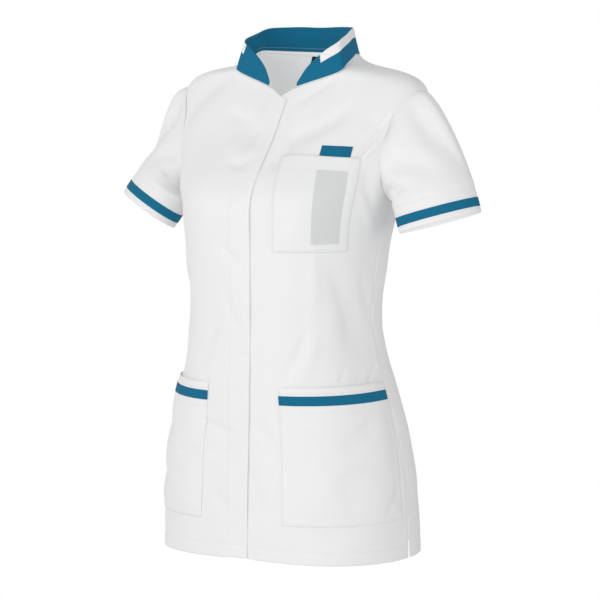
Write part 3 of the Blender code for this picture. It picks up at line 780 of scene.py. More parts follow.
def sleeve_rings(front_points, side):
    """Rings of a sleeve from its armhole to its hem, each from the shoulder tip round the front."""
    name, centre, faces, long_axis, pull_top = side
    faces = unit(np.array(faces))
    tip = front.row(row_named("armpit") + ARMHOLE_STEPS)
    near = front.column(front_column(0.95))
    last = 2 * len(BACK_SHARES) - 2
    far, far_near = (last, last - 1) if name == "left" else (0, 1)
    front_edge = armhole_line(front_points, -1, True)
    back_edge = armhole_line(back.points, back.column(far), False)
    loop = np.concatenate([front_edge, back_edge[1:-1]])
    inner = np.concatenate([armhole_line(front_points, near, True),
                            armhole_line(back.points, back.column(far_near), False)[1:-1]])
    count = len(loop)
    loop[0] = (front_edge[0] + back_edge[-1]) / 2.0
    loop[count // 2] = (front_edge[-1] + back_edge[0]) / 2.0
    along = unit(np.roll(loop, -1, axis=0) - np.roll(loop, 1, axis=0))
    leave = loop - inner
    leave[0] = front_edge[0] - front_points[tip + FINE_STEPS, -1]
    for _ in range(3 * FINE_STEPS ** 2):
        leave = (np.roll(leave, 1, axis=0) + 2.0 * leave + np.roll(leave, -1, axis=0)) / 4.0
    leave = unit(leave - along * np.sum(leave * along, axis=1, keepdims=True))
    long_way = unit(np.array(long_axis) - faces * np.dot(long_axis, faces))
    short_way = np.cross(faces, long_way)
    short_way *= -np.sign(short_way[1])
    turn = (2.0 * math.pi * np.arange(count) / count)[:, None]
    hem = np.array(centre) + SLEEVE_HEM_LONG * np.cos(turn) * long_way
    hem = hem + SLEEVE_HEM_SHORT * np.sin(turn) * short_way
    top = hem - faces * SLEEVE_BAND
    under = (1.0 - np.cos(turn)) / 2.0
    mix = smooth((under - SLEEVE_FACES_FROM) / SLEEVE_FACES_OVER)
    start = unit(leave * (1.0 - mix) + faces * mix)
    base = loop + start * SEAM_GAP * 1.5
    pull = lengths(top - loop)[:, None] * (pull_top + (SLEEVE_PULL_UNDER - pull_top) * under)
    rings = []
    for t in np.linspace(0.0, 1.0, SLEEVE_RINGS + 1):
        near_top = 2 * t ** 3 - 3 * t ** 2 + 1
        rings.append(near_top * base + (t ** 3 - 2 * t ** 2 + t) * start * pull
                     + (1 - near_top) * top + (t ** 3 - t ** 2) * faces * pull)
    heights = (SLEEVE_BAND,) + SLEEVE_STRIPE + (0.0,)
    for high, low_height, parts in zip(heights, heights[1:], BAND_PARTS):
        for step in range(1, parts + 1):
            rings.append(hem - faces * (high + (low_height - high) * step / parts))
    return np.array(rings)


class Sleeve:
    """A sleeve's rings in relief, with outward normals."""

    def __init__(self, side, front_points):
        rings = sleeve_rings(front_points, side)
        normals = grid_normals(rings, closed=True)
        self.flip = np.sum(normals * (rings - rings.mean(axis=1, keepdims=True))) < 0.0
        normals = -normals if self.flip else normals
        turns = np.arange(rings.shape[1]) / rings.shape[1]
        walked = np.concatenate([[0.0], np.cumsum(lengths(np.diff(rings, axis=0)).mean(axis=1))])
        turn, part = np.meshgrid(turns, walked / walked[SLEEVE_RINGS])
        relief = sum(fold_relief(turn + shift, part, SLEEVE_FOLDS[side[0]]) for shift in (-1.0, 0.0, 1.0))
        above_hem = walked[-1] - walked[:, None]
        relief *= smooth(above_hem / 0.05) * smooth(walked[:, None] / 0.012)
        relief += seam_dip(above_hem - SLEEVE_HEM_LINE, turn * SLEEVE_GIRTH, 4.0, dip=0.0003)
        relief += -SLEEVE_SINK[side[0]] * np.exp(-(walked[:, None] / 0.0030) ** 2)
        points = rings + normals * relief[..., None]
        tucked = points[0] - unit(points[1] - points[0]) * SLEEVE_TUCK - normals[0] * SLEEVE_TUCK_DEPTH
        self.points = np.concatenate([tucked[None], points])
        self.walked = np.concatenate([[0.0], walked + SLEEVE_TUCK])
        self.normals = grid_normals(self.points, closed=True) * (-1.0 if self.flip else 1.0)


sleeves = {}
for side in SLEEVES:
    sleeves[side[0]] = Sleeve(side, front.points if side[0] == "left" else front.points * MIRROR)
print("sleeve grid:", sleeves["left"].points.shape[:2])

# %% [markdown]
# The stand collar is a band that rises from the neck seam and leans in towards the neck.
# It grows from a low point at each front end to its full height at the side, so its top
# edge sweeps up and back.

# %% Collar
COLLAR_HEIGHT = 0.0365
COLLAR_END_HEIGHT = 0.0055
COLLAR_RISE_SHARE = 0.30
COLLAR_RISE_POWER = 3.0
COLLAR_LEAN = 0.24
COLLAR_SIDE_RISE = 0.0038
COLLAR_SIDE_SHARE = 0.31
COLLAR_BACK_RISE = 0.0060
COLLAR_NET = (0.0, 0.14, 0.40, 0.66, 1.0)
COLLAR_PARTS = (4, 4, 4, 5)
COLLAR_STRIP_FROM = 0.17
COLLAR_STRIP_UNTIL = 0.27
COLLAR_SEAM_GAP = 0.0009
COLLAR_ROUNDING = 160
NECK_TAPE_FROM = 0.50
UP = np.array([0.0, 0.0, 1.0])


def collar_grid():
    """Rows of the collar from the neck seam up, and each column's share from its end to the back."""
    first = front.column(front_column(0.10))
    base = np.concatenate([left_points[-1, first:], back_points[-1, -2:0:-1],
                           right_points[-1, first:][::-1]])
    for _ in range(4):
        soften(base)
    walked = walk(base)
    share = np.minimum(walked, walked[-1] - walked) / (walked[-1] / 2.0)
    rise = np.clip(1.0 - share / COLLAR_RISE_SHARE, 0.0, 1.0) ** COLLAR_RISE_POWER
    height = COLLAR_END_HEIGHT + (COLLAR_HEIGHT - COLLAR_END_HEIGHT) * (1.0 - rise)
    height = height + COLLAR_SIDE_RISE * np.exp(-((share - COLLAR_SIDE_SHARE) / 0.10) ** 2)
    height = height + COLLAR_BACK_RISE * smooth((share - 0.45) / 0.45)
    out = unit((base - np.array([0.0, base[:, 1].mean(), 0.0])) * (1.0 - UP))
    way = unit(UP - out * COLLAR_LEAN)
    round_base, round_way = base.copy(), way.copy()
    for _ in range(COLLAR_ROUNDING):
        soften(round_base)
        soften(round_way)
    soften(height)
    parts = between(np.array(COLLAR_NET), fine_places(COLLAR_PARTS))
    grid = np.array([base + UP * COLLAR_SEAM_GAP + (round_base - base) * part
                     + (way + (round_way - way) * part) * (height * part)[:, None] for part in parts])
    bend = soft_noise(walked[None, :] + 0 * parts[:, None], parts[:, None] * 0.04, 11, 0.07, 0.0005)
    return grid + grid_normals(grid) * (bend * parts[:, None])[..., None], share, walked


collar, collar_share, collar_walked = collar_grid()
collar_normals = grid_normals(collar)
print("collar grid:", collar.shape[:2], "length round:", round(float(collar_walked[-1]), 3))

# %% [markdown]
# Cloth needs a thickness, or its edges look like paper. A shell helper gives every grid an
# outer and an inner face and rounds the edge between them with one more row of points.
# It also writes a UV map in metres, so that the weave has the same scale on every piece.

# %% Shell helper
EDGE_BULGE = 0.35


def shell(name, grid, normals, thickness, material, uv=None, flip=False, closed=False, inward=True):
    """A closed cloth shell: the grid is its outer face if inward, or else its inner face."""
    thick = np.broadcast_to(np.asarray(thickness, float), grid.shape[:2])[..., None]
    outer = (grid if inward else grid + normals * thick).reshape(-1, 3)
    inner = (grid - normals * thick if inward else grid).reshape(-1, 3)
    height, width = grid.shape[:2]
    if uv is None:
        along = lengths(np.diff(grid, axis=1)).mean(axis=0)
        up = lengths(np.diff(grid, axis=0)).mean(axis=1)
        u, v = np.meshgrid(*(np.concatenate([[0.0], np.cumsum(steps)]) for steps in (along, up)))
        uv = np.stack([u, v], axis=-1)
    index = np.arange(height * width).reshape(height, width)
    right = np.roll(index, -1, axis=1) if closed else index[:, 1:]
    left = index if closed else index[:, :-1]
    quads = np.stack([left[:-1], right[:-1], right[1:], left[1:]], axis=-1).reshape(-1, 4)
    total = height * width
    faces = [quads, quads[:, ::-1] + total]
    if closed:
        loops = [index[0], index[-1][::-1]]
    else:
        loops = [np.concatenate([index[0, :-1], index[:-1, -1], index[-1, :0:-1], index[:0:-1, 0]])]
    uv = uv.reshape(-1, 2)
    points, every_uv = [outer, inner], [uv, uv]
    start = 2 * total
    for loop in loops:
        middle, across = (outer[loop] + inner[loop]) / 2.0, outer[loop] - inner[loop]
        bulge = unit(np.roll(middle, -1, axis=0) - np.roll(middle, 1, axis=0))
        bulge = np.cross(bulge, across)
        bulge *= (lengths(across) / np.maximum(lengths(bulge), 1e-12) * EDGE_BULGE)[:, None]
        points.append(middle - bulge if flip else middle + bulge)
        every_uv.append(uv[loop])
        edge = np.arange(len(loop)) + start
        start += len(loop)
        following, edge_next = np.roll(loop, -1), np.roll(edge, -1)
        faces.append(np.stack([loop, edge, edge_next, following], axis=1))
        faces.append(np.stack([edge, loop + total, following + total, edge_next], axis=1))
    faces = np.concatenate(faces)[:, ::-1 if flip else 1]
    points = np.concatenate(points)
    mesh = bpy.data.meshes.new(name)
    mesh.vertices.add(len(points))
    mesh.vertices.foreach_set("co", points.astype(np.float32).ravel())
    mesh.loops.add(faces.size)
    mesh.loops.foreach_set("vertex_index", faces.astype(np.int32).ravel())
    mesh.polygons.add(len(faces))
    mesh.polygons.foreach_set("loop_start", np.arange(0, faces.size, 4, dtype=np.int32))
    cut = np.concatenate(every_uv)[faces.ravel()]
    mesh.uv_layers.new(name="cut").data.foreach_set("uv", cut.astype(np.float32).ravel())
    mesh.update(calc_edges=True)
    mesh.shade_smooth()
    mesh.materials.append(material)
    item = add_object(name, mesh)
    # Marks the inner face's points, where the white cloth paints its glow.
    store(item, "inside", np.repeat((0.0, 1.0), total))
    return item


def store(item, name, values):
    """Stores a value for each of a shell's first points, and 0 for the rest."""
    flat = np.zeros(len(item.data.vertices), np.float32)
    flat[:values.size] = values.ravel()
    item.data.attributes.new(name, "FLOAT", "POINT").data.foreach_set("value", flat)


# %% [markdown]
# The main finish is a smooth white poly-cotton twill. Close up it has fine diagonal ribs,
# crossed by the single threads. From a step away only a soft, matt surface is left, with
# a faint cloudiness where the cloth has been washed. Waves on the UV map, in metres, make
# the weave, and a noise on Object coordinates makes the clouds. The inner faces of the
# white cloth carry a little painted glow, an emission that stands in for daylight coming
# through the thin cloth.

# %% Cloth materials
WEAVE_PITCH = 0.00055
THREAD_PITCH = 0.00030
# Strength of the painted glow on the white cloth's inner faces, in place of daylight through the thin cloth.
INNER_PAINTED_GLOW = 0.13
WHITE = (0.842, 0.842, 0.842, 1.0)
WHITE_SHADE = (0.806, 0.808, 0.810, 1.0)
BLUE = (0.0030, 0.150, 0.275, 1.0)
BLUE_SHADE = (0.0025, 0.118, 0.220, 1.0)
BLACK = (0.012, 0.012, 0.014, 1.0)
BLACK_SHADE = (0.020, 0.020, 0.023, 1.0)


def noise(tree, coordinates, scale, detail):
    inputs = {"Vector": coordinates, "Scale": scale, "Detail": detail}
    return node(tree, "ShaderNodeTexNoise", inputs).outputs["Fac"]


def mix_colours(tree, factor, first, second):
    return node(tree, "ShaderNodeMix", {0: factor, 6: first, 7: second}, data_type="RGBA").outputs[2]


def stored(tree, name):
    return node(tree, "ShaderNodeAttribute", attribute_name=name).outputs["Fac"]


def ramp(tree, value, start, end):
    """A soft step from 0 where the value is at the start to 1 where it is at the end."""
    inputs = {"Value": value, "From Min": start, "From Max": end}
    return node(tree, "ShaderNodeMapRange", inputs, interpolation_type="SMOOTHSTEP").outputs["Result"]


def weave(tree, coordinates, pitch, angle):
    """Fine ribs across the cut at this angle."""
    turned = {"Vector": coordinates, "Rotation": (0.0, 0.0, math.radians(angle)),
              "Scale": (1.0 / pitch, 1.0 / pitch, 1.0)}
    turn = node(tree, "ShaderNodeMapping", turned).outputs["Vector"]
    ribs = {"Vector": turn, "Scale": 1.0 / math.pi, "Distortion": 0.4, "Detail": 1.0}
    return node(tree, "ShaderNodeTexWave", ribs).outputs["Fac"]


def cloth_material(name, colour, shade, rough, sheen, weave_depth=0.00004, painted_glow=0.0):
    """A woven cloth: two close colours in clouds, a twill weave in the bump, a soft sheen and, if asked, a
    painted glow on its inner faces.
    """
    material, tree, shader = new_material(name)
    coordinates = node(tree, "ShaderNodeTexCoord").outputs
    clouds = noise(tree, coordinates["Object"], 9.0, 3.0)
    fibres = noise(tree, coordinates["UV"], 2600.0, 2.0)
    base = mix_colours(tree, calculate(tree, "MULTIPLY", clouds, 0.5), colour, shade)
    base = mix_colours(tree, calculate(tree, "MULTIPLY", fibres, 0.10), base, shade)
    ribs = weave(tree, coordinates["UV"], WEAVE_PITCH, 63.0)
    threads = weave(tree, coordinates["UV"], THREAD_PITCH, 0.0)
    height = calculate(tree, "MULTIPLY_ADD", threads, 0.35, ribs)
    height = calculate(tree, "MULTIPLY_ADD", fibres, 0.5, height)
    bump = node(tree, "ShaderNodeBump", {"Strength": 0.35, "Distance": weave_depth, "Height": height})
    fill(tree, shader, {
        "Normal": bump.outputs["Normal"],
        "Roughness": calculate(tree, "MULTIPLY_ADD", clouds, 0.08, rough - 0.04),
        "Base Color": base,
        "Specular IOR Level": 0.25,
        "Sheen Weight": sheen,
        "Sheen Roughness": 0.55,
    })
    # Painted glow: the inner faces give off a little white light, standing in for daylight through the
    # cloth.
    if painted_glow:
        glow = calculate(tree, "MULTIPLY", stored(tree, "inside"), painted_glow)
        fill(tree, shader, {"Emission Strength": glow, "Emission Color": PLAIN_WHITE})
    return material, tree, shader, base


white_cloth = cloth_material("white_twill", WHITE, WHITE_SHADE, 0.80, 0.06, painted_glow=INNER_PAINTED_GLOW)[0]
blue_cloth = cloth_material("blue_twill", BLUE, BLUE_SHADE, 0.85, 0.0)[0]
black_tape = cloth_material("black_tape", BLACK, BLACK_SHADE, 0.70, 0.02, 0.00008)[0]
print("materials:", [m.name for m in (white_cloth, blue_cloth, black_tape)])

# %% [markdown]
# A thin white pocket lets the darker pocket behind it show through as a light grey
# window with crisp edges. The breast pocket's shell carries two values, its place across
# and up the inner pocket, and the material turns them into that window. The collar takes a
# white hair line along the neck seam and up the two front ends, so its shell stores each
# point's distance to those edges.

# %% Breast pocket and collar materials
THROUGH_GREY = (0.640, 0.655, 0.655, 1.0)
WINDOW_SOFTNESS = 0.015
EDGE_LINE = 0.0009
SHOWN = 0.85


def marked_cloth(name, colour, shade, rough, sheen, steps, mark):
    """A cloth that takes another colour where every soft step of its stored values is at 1."""
    material, tree, shader, base = cloth_material(name, colour, shade, rough, sheen)
    amount = SHOWN
    for value, start, end in steps:
        amount = calculate(tree, "MULTIPLY", ramp(tree, stored(tree, value), start, end), amount)
    fill(tree, shader, {"Base Color": mix_colours(tree, amount, base, mark)})
    return material


window_steps = [(name, edge - way * WINDOW_SOFTNESS, edge + way * WINDOW_SOFTNESS)
                for name in ("window_across", "window_up") for edge, way in ((0.0, 1.0), (1.0, -1.0))]
show_through = marked_cloth("white_twill_show_through", WHITE, WHITE_SHADE, 0.80, 0.06,
                            window_steps, THROUGH_GREY)
collar_cloth = marked_cloth("blue_twill_collar", BLUE, BLUE_SHADE, 0.85, 0.0,
                            [("edge_away", EDGE_LINE * 1.25, EDGE_LINE * 0.75)], WHITE)
print("materials:", show_through.name, collar_cloth.name)

# %% [markdown]
# Each finished shell rides on the garment's one body, stands for its plain solid, takes
# its finish from a material slot, and has the size of its cut recorded.
# The cut's width and length are the longest lines across and up the grid, and its area is
# the area of the grid's faces.

# %% Declaring a piece
CLOTH = 0.0006
TRIM = 0.0005
LEAST_CUT = 0.010
flat_sizes = {}


def grid_area(grid):
    first = np.cross(grid[:-1, 1:] - grid[:-1, :-1], grid[1:, :-1] - grid[:-1, :-1])
    second = np.cross(grid[1:, 1:] - grid[1:, :-1], grid[:-1, 1:] - grid[1:, 1:])
    return float((lengths(first) + lengths(second)).sum() / 2.0)


def declare(item, node_name, grid, closed=False):
    """Puts the piece on the body, hides the solid that it stands for, and records how large its cut is."""
    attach(item, "root")
    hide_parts(node_name)
    ring = np.concatenate([grid, grid[:, :1]], axis=1) if closed else grid
    width = max(float(lengths(np.diff(ring, axis=1)).sum(axis=1).max()), LEAST_CUT)
    length = max(float(lengths(np.diff(grid, axis=0)).sum(axis=0).max()), LEAST_CUT)
    area = grid_area(ring)
    flat_sizes[item.name] = (round(width, 4), round(length, 4), round(area, 5))


def dress(node_name, slot, grid, normals, thickness, material, closed=False, **more):
    """A shell on a grid, declared in the place of its solid."""
    item = shell(node_name + "_cloth", grid, normals, thickness, material, closed=closed, **more)
    declare(item, node_name, grid, closed)
    return item


print("cloth and trim, mm:", CLOTH * 1000, TRIM * 1000)

# %% [markdown]
# The two fronts and the sleeves are shells on their grids. The back is made two columns
# wider on each side, so that it runs under the fronts along the seams and shows no gap.

# %% Panels and sleeves as shells
UNDERLAP_DEPTH = 0.0008
UNDERLAP_STEP = 0.12
LAP_EDGE = 0.0009
HEM_LAYER = 0.9
UV_STEP = np.array([0.002, 0.0])
OVER = 0.00015
armpit = row_named("armpit")


def panel_uv(panel):
    return np.stack([panel.s, panel.z], axis=-1)


def doubled(below_line):
    """The cloth's thickness, doubled below the line of a hem."""
    return CLOTH * (1.0 + HEM_LAYER * smooth(below_line / 0.003 + 0.5))


def edge_thickness(panel):
    return doubled(panel.z[panel.row(row_named("hem_line"))][None, :] - panel.z)


def underlap(edge, under, shown):
    """Two columns that take the back under the front, or end it at its edge where nothing is shown."""
    tiny = (edge[:, 0] - edge[:, 1]) * UNDERLAP_STEP
    columns = [edge[:, 0] + tiny * k + (under[:, k - 1] - edge[:, 0] - tiny * k) * shown for k in (1, 2)]
    return np.stack(columns, axis=1)


lap_thick = np.maximum(edge_thickness(front), LAP_EDGE * smooth((PLACKET_LINE - front.s) / 0.010))
dress("front_left", "white_cloth", left_points, left_normals, edge_thickness(front), white_cloth,
      uv=panel_uv(front))
dress("front_right", "white_cloth", right_points, right_normals, lap_thick, white_cloth,
      uv=panel_uv(front), flip=True)

tip = armpit + ARMHOLE_STEPS
at = back.rows_at[:, None]
shown = smooth((at - row_named("slit_top")) / 0.4) * smooth((armpit - at) / 0.4) + smooth((at - tip) / 0.6)
left_under = (left_points - left_normals * UNDERLAP_DEPTH)[:, [-2, -3]]
right_under = (right_points - right_normals * UNDERLAP_DEPTH)[:, [-2, -3]]
left_columns = underlap(back_points[:, [-1, -2]], left_under, shown)
right_columns = underlap(back_points[:, [0, 1]], right_under, shown)[:, ::-1]
back_wide = np.concatenate([right_columns, back_points, left_columns], axis=1)
back_uv = panel_uv(back)
first_uv, last_uv = back_uv[:, :1], back_uv[:, -1:]
back_uv = np.concatenate([first_uv - UV_STEP * 2, first_uv - UV_STEP, back_uv,
                          last_uv + UV_STEP, last_uv + UV_STEP * 2], axis=1)
back_thick = edge_thickness(back)
back_thick = np.concatenate([back_thick[:, :2], back_thick, back_thick[:, :2]], axis=1)
dress("back", "white_cloth", back_wide, -grid_normals(back_wide), back_thick, white_cloth,
      uv=back_uv, flip=True)

for name, sleeve in sleeves.items():
    above_hem = sleeve.walked[-1] - sleeve.walked[:, None]
    dress("sleeve_" + name, "white_cloth", sleeve.points, sleeve.normals,
          doubled(SLEEVE_HEM_LINE - above_hem), white_cloth, flip=sleeve.flip, closed=True)
    last = sleeve.points.shape[0] - 1
    stripe_rows = slice(last - BAND_PARTS[2] - BAND_PARTS[1], last - BAND_PARTS[2] + 1)
    normal = sleeve.normals[stripe_rows]
    dress("sleeve_stripe_" + name, "blue_cloth", sleeve.points[stripe_rows] + normal * OVER, normal, TRIM,
          blue_cloth, flip=sleeve.flip, closed=True, inward=False)
print("shells so far:", len(flat_sizes))

# %% [markdown]
# The patch pockets are cut from the same net, so they sit exactly where the maker sewed
# them. A pocket is flat at its three sewn edges and swells a little between them, with
# its own folds. Its top hem is doubled, and the blue stripe lies across it.

# %% Pockets
HIP_POCKET_SHARES = (0.24, 0.95)
BREAST_POCKET_SHARES = (0.19, 0.66)
INNER_POCKET_SHARES = (0.425, 0.60)
HIP_FOLDS = {
    "left": (
        (0.200, -0.505, 0.150, -0.548, 0.0175, -0.0019, 0.3, 0.001),
        (0.250, -0.536, 0.158, -0.570, 0.0110, 0.0009, 0.0, 0.001),
        (0.206, -0.552, 0.146, -0.600, 0.0190, -0.0021, 0.3, -0.002),
        (0.215, -0.596, 0.150, -0.622, 0.0120, -0.0007, 0.0, 0.001),
        (0.075, -0.505, 0.120, -0.515, 0.0050, -0.0008, 0.0, 0.002),
    ),
    "right": (
        (0.120, -0.556, 0.070, -0.552, 0.0100, -0.0016, 0.0, 0.003),
        (0.200, -0.500, 0.140, -0.545, 0.0120, -0.0022, 0.0, 0.004),
        (0.210, -0.580, 0.150, -0.610, 0.0110, -0.0020, 0.0, 0.004),
    ),
}
POCKET_HEM_Z = -0.490
POCKET_LINE_Z = -0.463
BREAST_HEM_DROP = 0.018
WINDOW_FOOT = 0.45
WINDOW_HEAD = 1.15
POCKET_PUCKER = 0.00018


def patch(panel_points, panel_normals, row_span, shares):
    """The part of a front between two rows and two columns, and the columns' places."""
    columns = [front_column(share) for share in shares]
    area = (slice(front.row(row_span[0]), front.row(row_span[1]) + 1),
            slice(front.column(columns[0]), front.column(columns[1]) + 1))
    return panel_points[area], panel_normals[area], front.s[area], front.z[area], area, columns


def edge_distance(grid):
    """Distance of every point to the grid's foot and two sides, which are sewn down."""
    return [lengths(grid - edge) for edge in (grid[:1], grid[:, :1], grid[:, -1:])]


def pocket_relief(grid, s, z, seed, swell):
    to_foot, to_left, to_right = edge_distance(grid)
    to_side = np.minimum(to_left, to_right)
    near = np.minimum(to_foot, to_side)
    relief = swell * smooth(near / 0.030)
    relief += DOUBLED_RISE * smooth(near / 0.003)
    for along, away_from in ((z, to_side), (s, to_foot)):
        relief += POCKET_PUCKER * waves(along, seed) * np.exp(-away_from / 0.006)
    return np.maximum(relief, 0.0), to_side, near


hip_pockets = {}
hip_rows = (row_named("pocket_foot"), row_named("pocket_mouth"))
stripe_rows = slice(front.row(row_named("stripe_foot")) - front.row(hip_rows[0]),
                    front.row(row_named("stripe_head")) - front.row(hip_rows[0]) + 1)
for name, points, normals, turned in (
    ("left", left_points, left_normals, 1.0),
    ("right", right_points, right_normals, -1.0),
):
    grid, normal, s, z, _, _ = patch(points, normals, hip_rows, HIP_POCKET_SHARES)
    relief, to_side, _ = pocket_relief(grid, s, z, 5.0, 0.0026)
    relief += fold_relief(s, z, HIP_FOLDS[name]) * smooth(to_side / 0.02)
    relief += seam_dip(z - POCKET_HEM_Z, s, 6.0, pucker=0.0003) + band(z, POCKET_HEM_Z, 0.0, DOUBLED_RISE)
    pocket = grid + normal * (SEAM_GAP + np.maximum(relief, 0.0))[..., None]
    normal = grid_normals(pocket) * turned
    dress("hip_pocket_" + name, "white_cloth", pocket, normal, CLOTH, white_cloth,
          uv=np.stack([s, z], axis=-1), flip=turned < 0.0, inward=False)
    hip_pockets[name] = (pocket, normal, z)
    dress("hip_stripe_" + name, "blue_cloth", (pocket + normal * (CLOTH + OVER))[stripe_rows],
          normal[stripe_rows], TRIM, blue_cloth, flip=turned < 0.0, inward=False)

breast_foot = row_named("breast_foot")
grid, normal, _, _, _, inner_columns = patch(
    left_points, left_normals, (breast_foot + 1, armpit + INNER_MOUTH_STEP), INNER_POCKET_SHARES)
dress("inner_pocket", "blue_cloth", grid + normal * SEAM_GAP, normal, TRIM, blue_cloth, inward=False)

grid, normal, s, z, area, _ = patch(
    left_points, left_normals, (breast_foot, armpit + MOUTH_STEP), BREAST_POCKET_SHARES)
breast_z = z - z[-1]
relief, _, near = pocket_relief(grid, s, z, 7.0, 0.0008)
relief += seam_dip(breast_z + BREAST_HEM_DROP, s, 8.0, pucker=0.0002)
stand = SEAM_GAP + (SEAM_GAP + TRIM) * smooth(near / 0.006) + np.maximum(relief, 0.0)
breast = grid + normal * stand[..., None]
breast_normals = grid_normals(breast)
item = dress("breast_pocket", "white_cloth", breast, breast_normals, CLOTH, show_through,
             uv=np.stack([s, z], axis=-1), inward=False)
window_rows = (breast_foot + WINDOW_FOOT, armpit + MOUTH_STEP - WINDOW_HEAD)
across, upward = np.meshgrid(*(
    (places - ends[0]) / (ends[1] - ends[0]) for places, ends in (
        (front.columns_at[area[1]], inner_columns), (front.rows_at[area[0]], window_rows))))
store(item, "window_across", np.tile(across.ravel(), 2))
store(item, "window_up", np.tile(upward.ravel(), 2))
print("pockets done:", len(flat_sizes))

# %% [markdown]
# The collar is blue inside and out. A white strip runs round the top of its outside,
# inside the back the neck seam is covered by a narrow tape, and a plain black label hangs
# below it.

# %% Collar, strip, tape and label
COLLAR_CLOTH = 0.0011
TAPE_DEPTH = 0.0015
LABEL_DEPTH = 0.0016
item = dress("collar", "blue_cloth", collar, collar_normals, COLLAR_CLOTH, collar_cloth)
to_edge = np.min([lengths(collar - edge) for edge in (collar[:1], collar[:, :1], collar[:, -1:])], axis=0)
store(item, "edge_away", np.tile(to_edge.ravel(), 2))
strip_area = (slice(sum(COLLAR_PARTS[:3]), None),
              slice(np.where(collar_share >= COLLAR_STRIP_FROM)[0][0],
                    np.where(collar_share >= COLLAR_STRIP_UNTIL)[0][-1] + 1))
dress("collar_strip", "white_cloth", (collar + collar_normals * OVER)[strip_area],
      collar_normals[strip_area], TRIM, white_cloth, inward=False)

near_back = np.where(collar_share >= NECK_TAPE_FROM)[0]
tape_columns = slice(near_back[0], near_back[-1] + 1)
tape_normals = collar_normals[:COLLAR_PARTS[0] + 1, tape_columns]
tape = collar[:COLLAR_PARTS[0] + 1, tape_columns] - tape_normals * TAPE_DEPTH
dress("neck_tape", "white_cloth", tape, tape_normals, TRIM, white_cloth)

middle = back.column(len(BACK_SHARES) - 1)
reach = 2 * BACK_PARTS
label_area = (slice(back.row(len(rows) - 3), None), slice(middle - reach, middle + reach + 1))
dress("label", "black_label", (back_points - back_normals * LABEL_DEPTH)[label_area],
      back_normals[label_area], TRIM, black_tape, flip=True)
print("pieces with a cut:", len(flat_sizes))

# %% [markdown]
# Stitches are real small capsules, 2 mm long with a 1 mm gap, laid on the finished
# cloth. Each seam is a line across a shell's grid. A short Geometry Nodes tree puts one
# capsule on every point of a seam, turned along it, and sizes it by two named inputs.

# %% Stitch tree
STITCH_PITCH = 0.0031
STITCH_SIZES = {"Length": 0.0021, "Radius": 0.00022}
STITCH_SIDES = 5
STITCH_SUNK = 0.00005
THREAD_WHITE = (0.72, 0.73, 0.74, 1.0)
THREAD_BLUE = (0.010, 0.120, 0.210, 1.0)
THREAD_GREY = (0.30, 0.31, 0.33, 1.0)


def thread_material(name, colour):
    material, tree, shader = new_material(name)
    mottle = noise(tree, node(tree, "ShaderNodeTexCoord").outputs["Object"], 900.0, 1.0)
    darker = tuple(c * 0.8 for c in colour[:3]) + (1.0,)
    fill(tree, shader, {"Base Color": mix_colours(tree, mottle, colour, darker),
                        "Roughness": 0.6, "Specular IOR Level": 0.3})
    return material


def stitch_tree(material):
    """Capsules on the points of a mesh, turned by the stored direction and normal."""
    tree = bpy.data.node_groups.new("stitches", "GeometryNodeTree")
    face = tree.interface
    face.new_socket("Geometry", in_out="INPUT", socket_type="NodeSocketGeometry")
    sizes = {name: face.new_socket(name, in_out="INPUT", socket_type="NodeSocketFloat").identifier
             for name in STITCH_SIZES}
    face.new_socket("Geometry", in_out="OUTPUT", socket_type="NodeSocketGeometry")
    enter = node(tree, "NodeGroupInput").outputs
    capsule = node(tree, "GeometryNodeMeshUVSphere", {"Segments": STITCH_SIDES, "Rings": 4, "Radius": 1.0})
    along, normal = (
        node(tree, "GeometryNodeInputNamedAttribute", {"Name": name}, data_type="FLOAT_VECTOR")
        .outputs["Attribute"] for name in ("along", "normal"))
    first = node(tree, "FunctionNodeAlignRotationToVector", {"Vector": along}, axis="Z")
    second = node(tree, "FunctionNodeAlignRotationToVector",
                  {"Rotation": first.outputs["Rotation"], "Vector": normal}, axis="X", pivot_axis="Z")
    half = calculate(tree, "MULTIPLY", enter["Length"], 0.5)
    size = node(tree, "ShaderNodeCombineXYZ", {"X": enter["Radius"], "Y": enter["Radius"], "Z": half})
    place = node(tree, "GeometryNodeInstanceOnPoints", {
        "Points": enter["Geometry"], "Instance": capsule.outputs["Mesh"],
        "Rotation": second.outputs["Rotation"], "Scale": size.outputs["Vector"]})
    real = node(tree, "GeometryNodeRealizeInstances", {"Geometry": place.outputs["Instances"]})
    paint = node(tree, "GeometryNodeSetMaterial",
                 {"Geometry": real.outputs["Geometry"], "Material": material})
    node(tree, "NodeGroupOutput", {"Geometry": paint.outputs["Geometry"]})
    return tree, sizes


white_thread = thread_material("white_thread", THREAD_WHITE)
blue_thread = thread_material("blue_thread", THREAD_BLUE)
grey_thread = thread_material("grey_thread", THREAD_GREY)
print("threads:", white_thread.name, blue_thread.name, grey_thread.name)

# %% [markdown]
# Sewing reads even places along the seams of one thread, stores each place's direction
# and normal, and turns the capsules on them into one real mesh.

# %% Sewing
def seam_points(line, normals):
    """Even places along a line on the cloth, with the seam's direction and the cloth's normal."""
    walked = walk(line)
    at = np.arange(STITCH_PITCH / 2.0, walked[-1], STITCH_PITCH)
    read = np.array([np.interp(at, walked, values) for values in np.concatenate([line, normals], axis=1).T])
    points, normal = read[:3].T, read[3:].T
    return points - normal * STITCH_SUNK, unit(np.gradient(points, axis=0)), normal


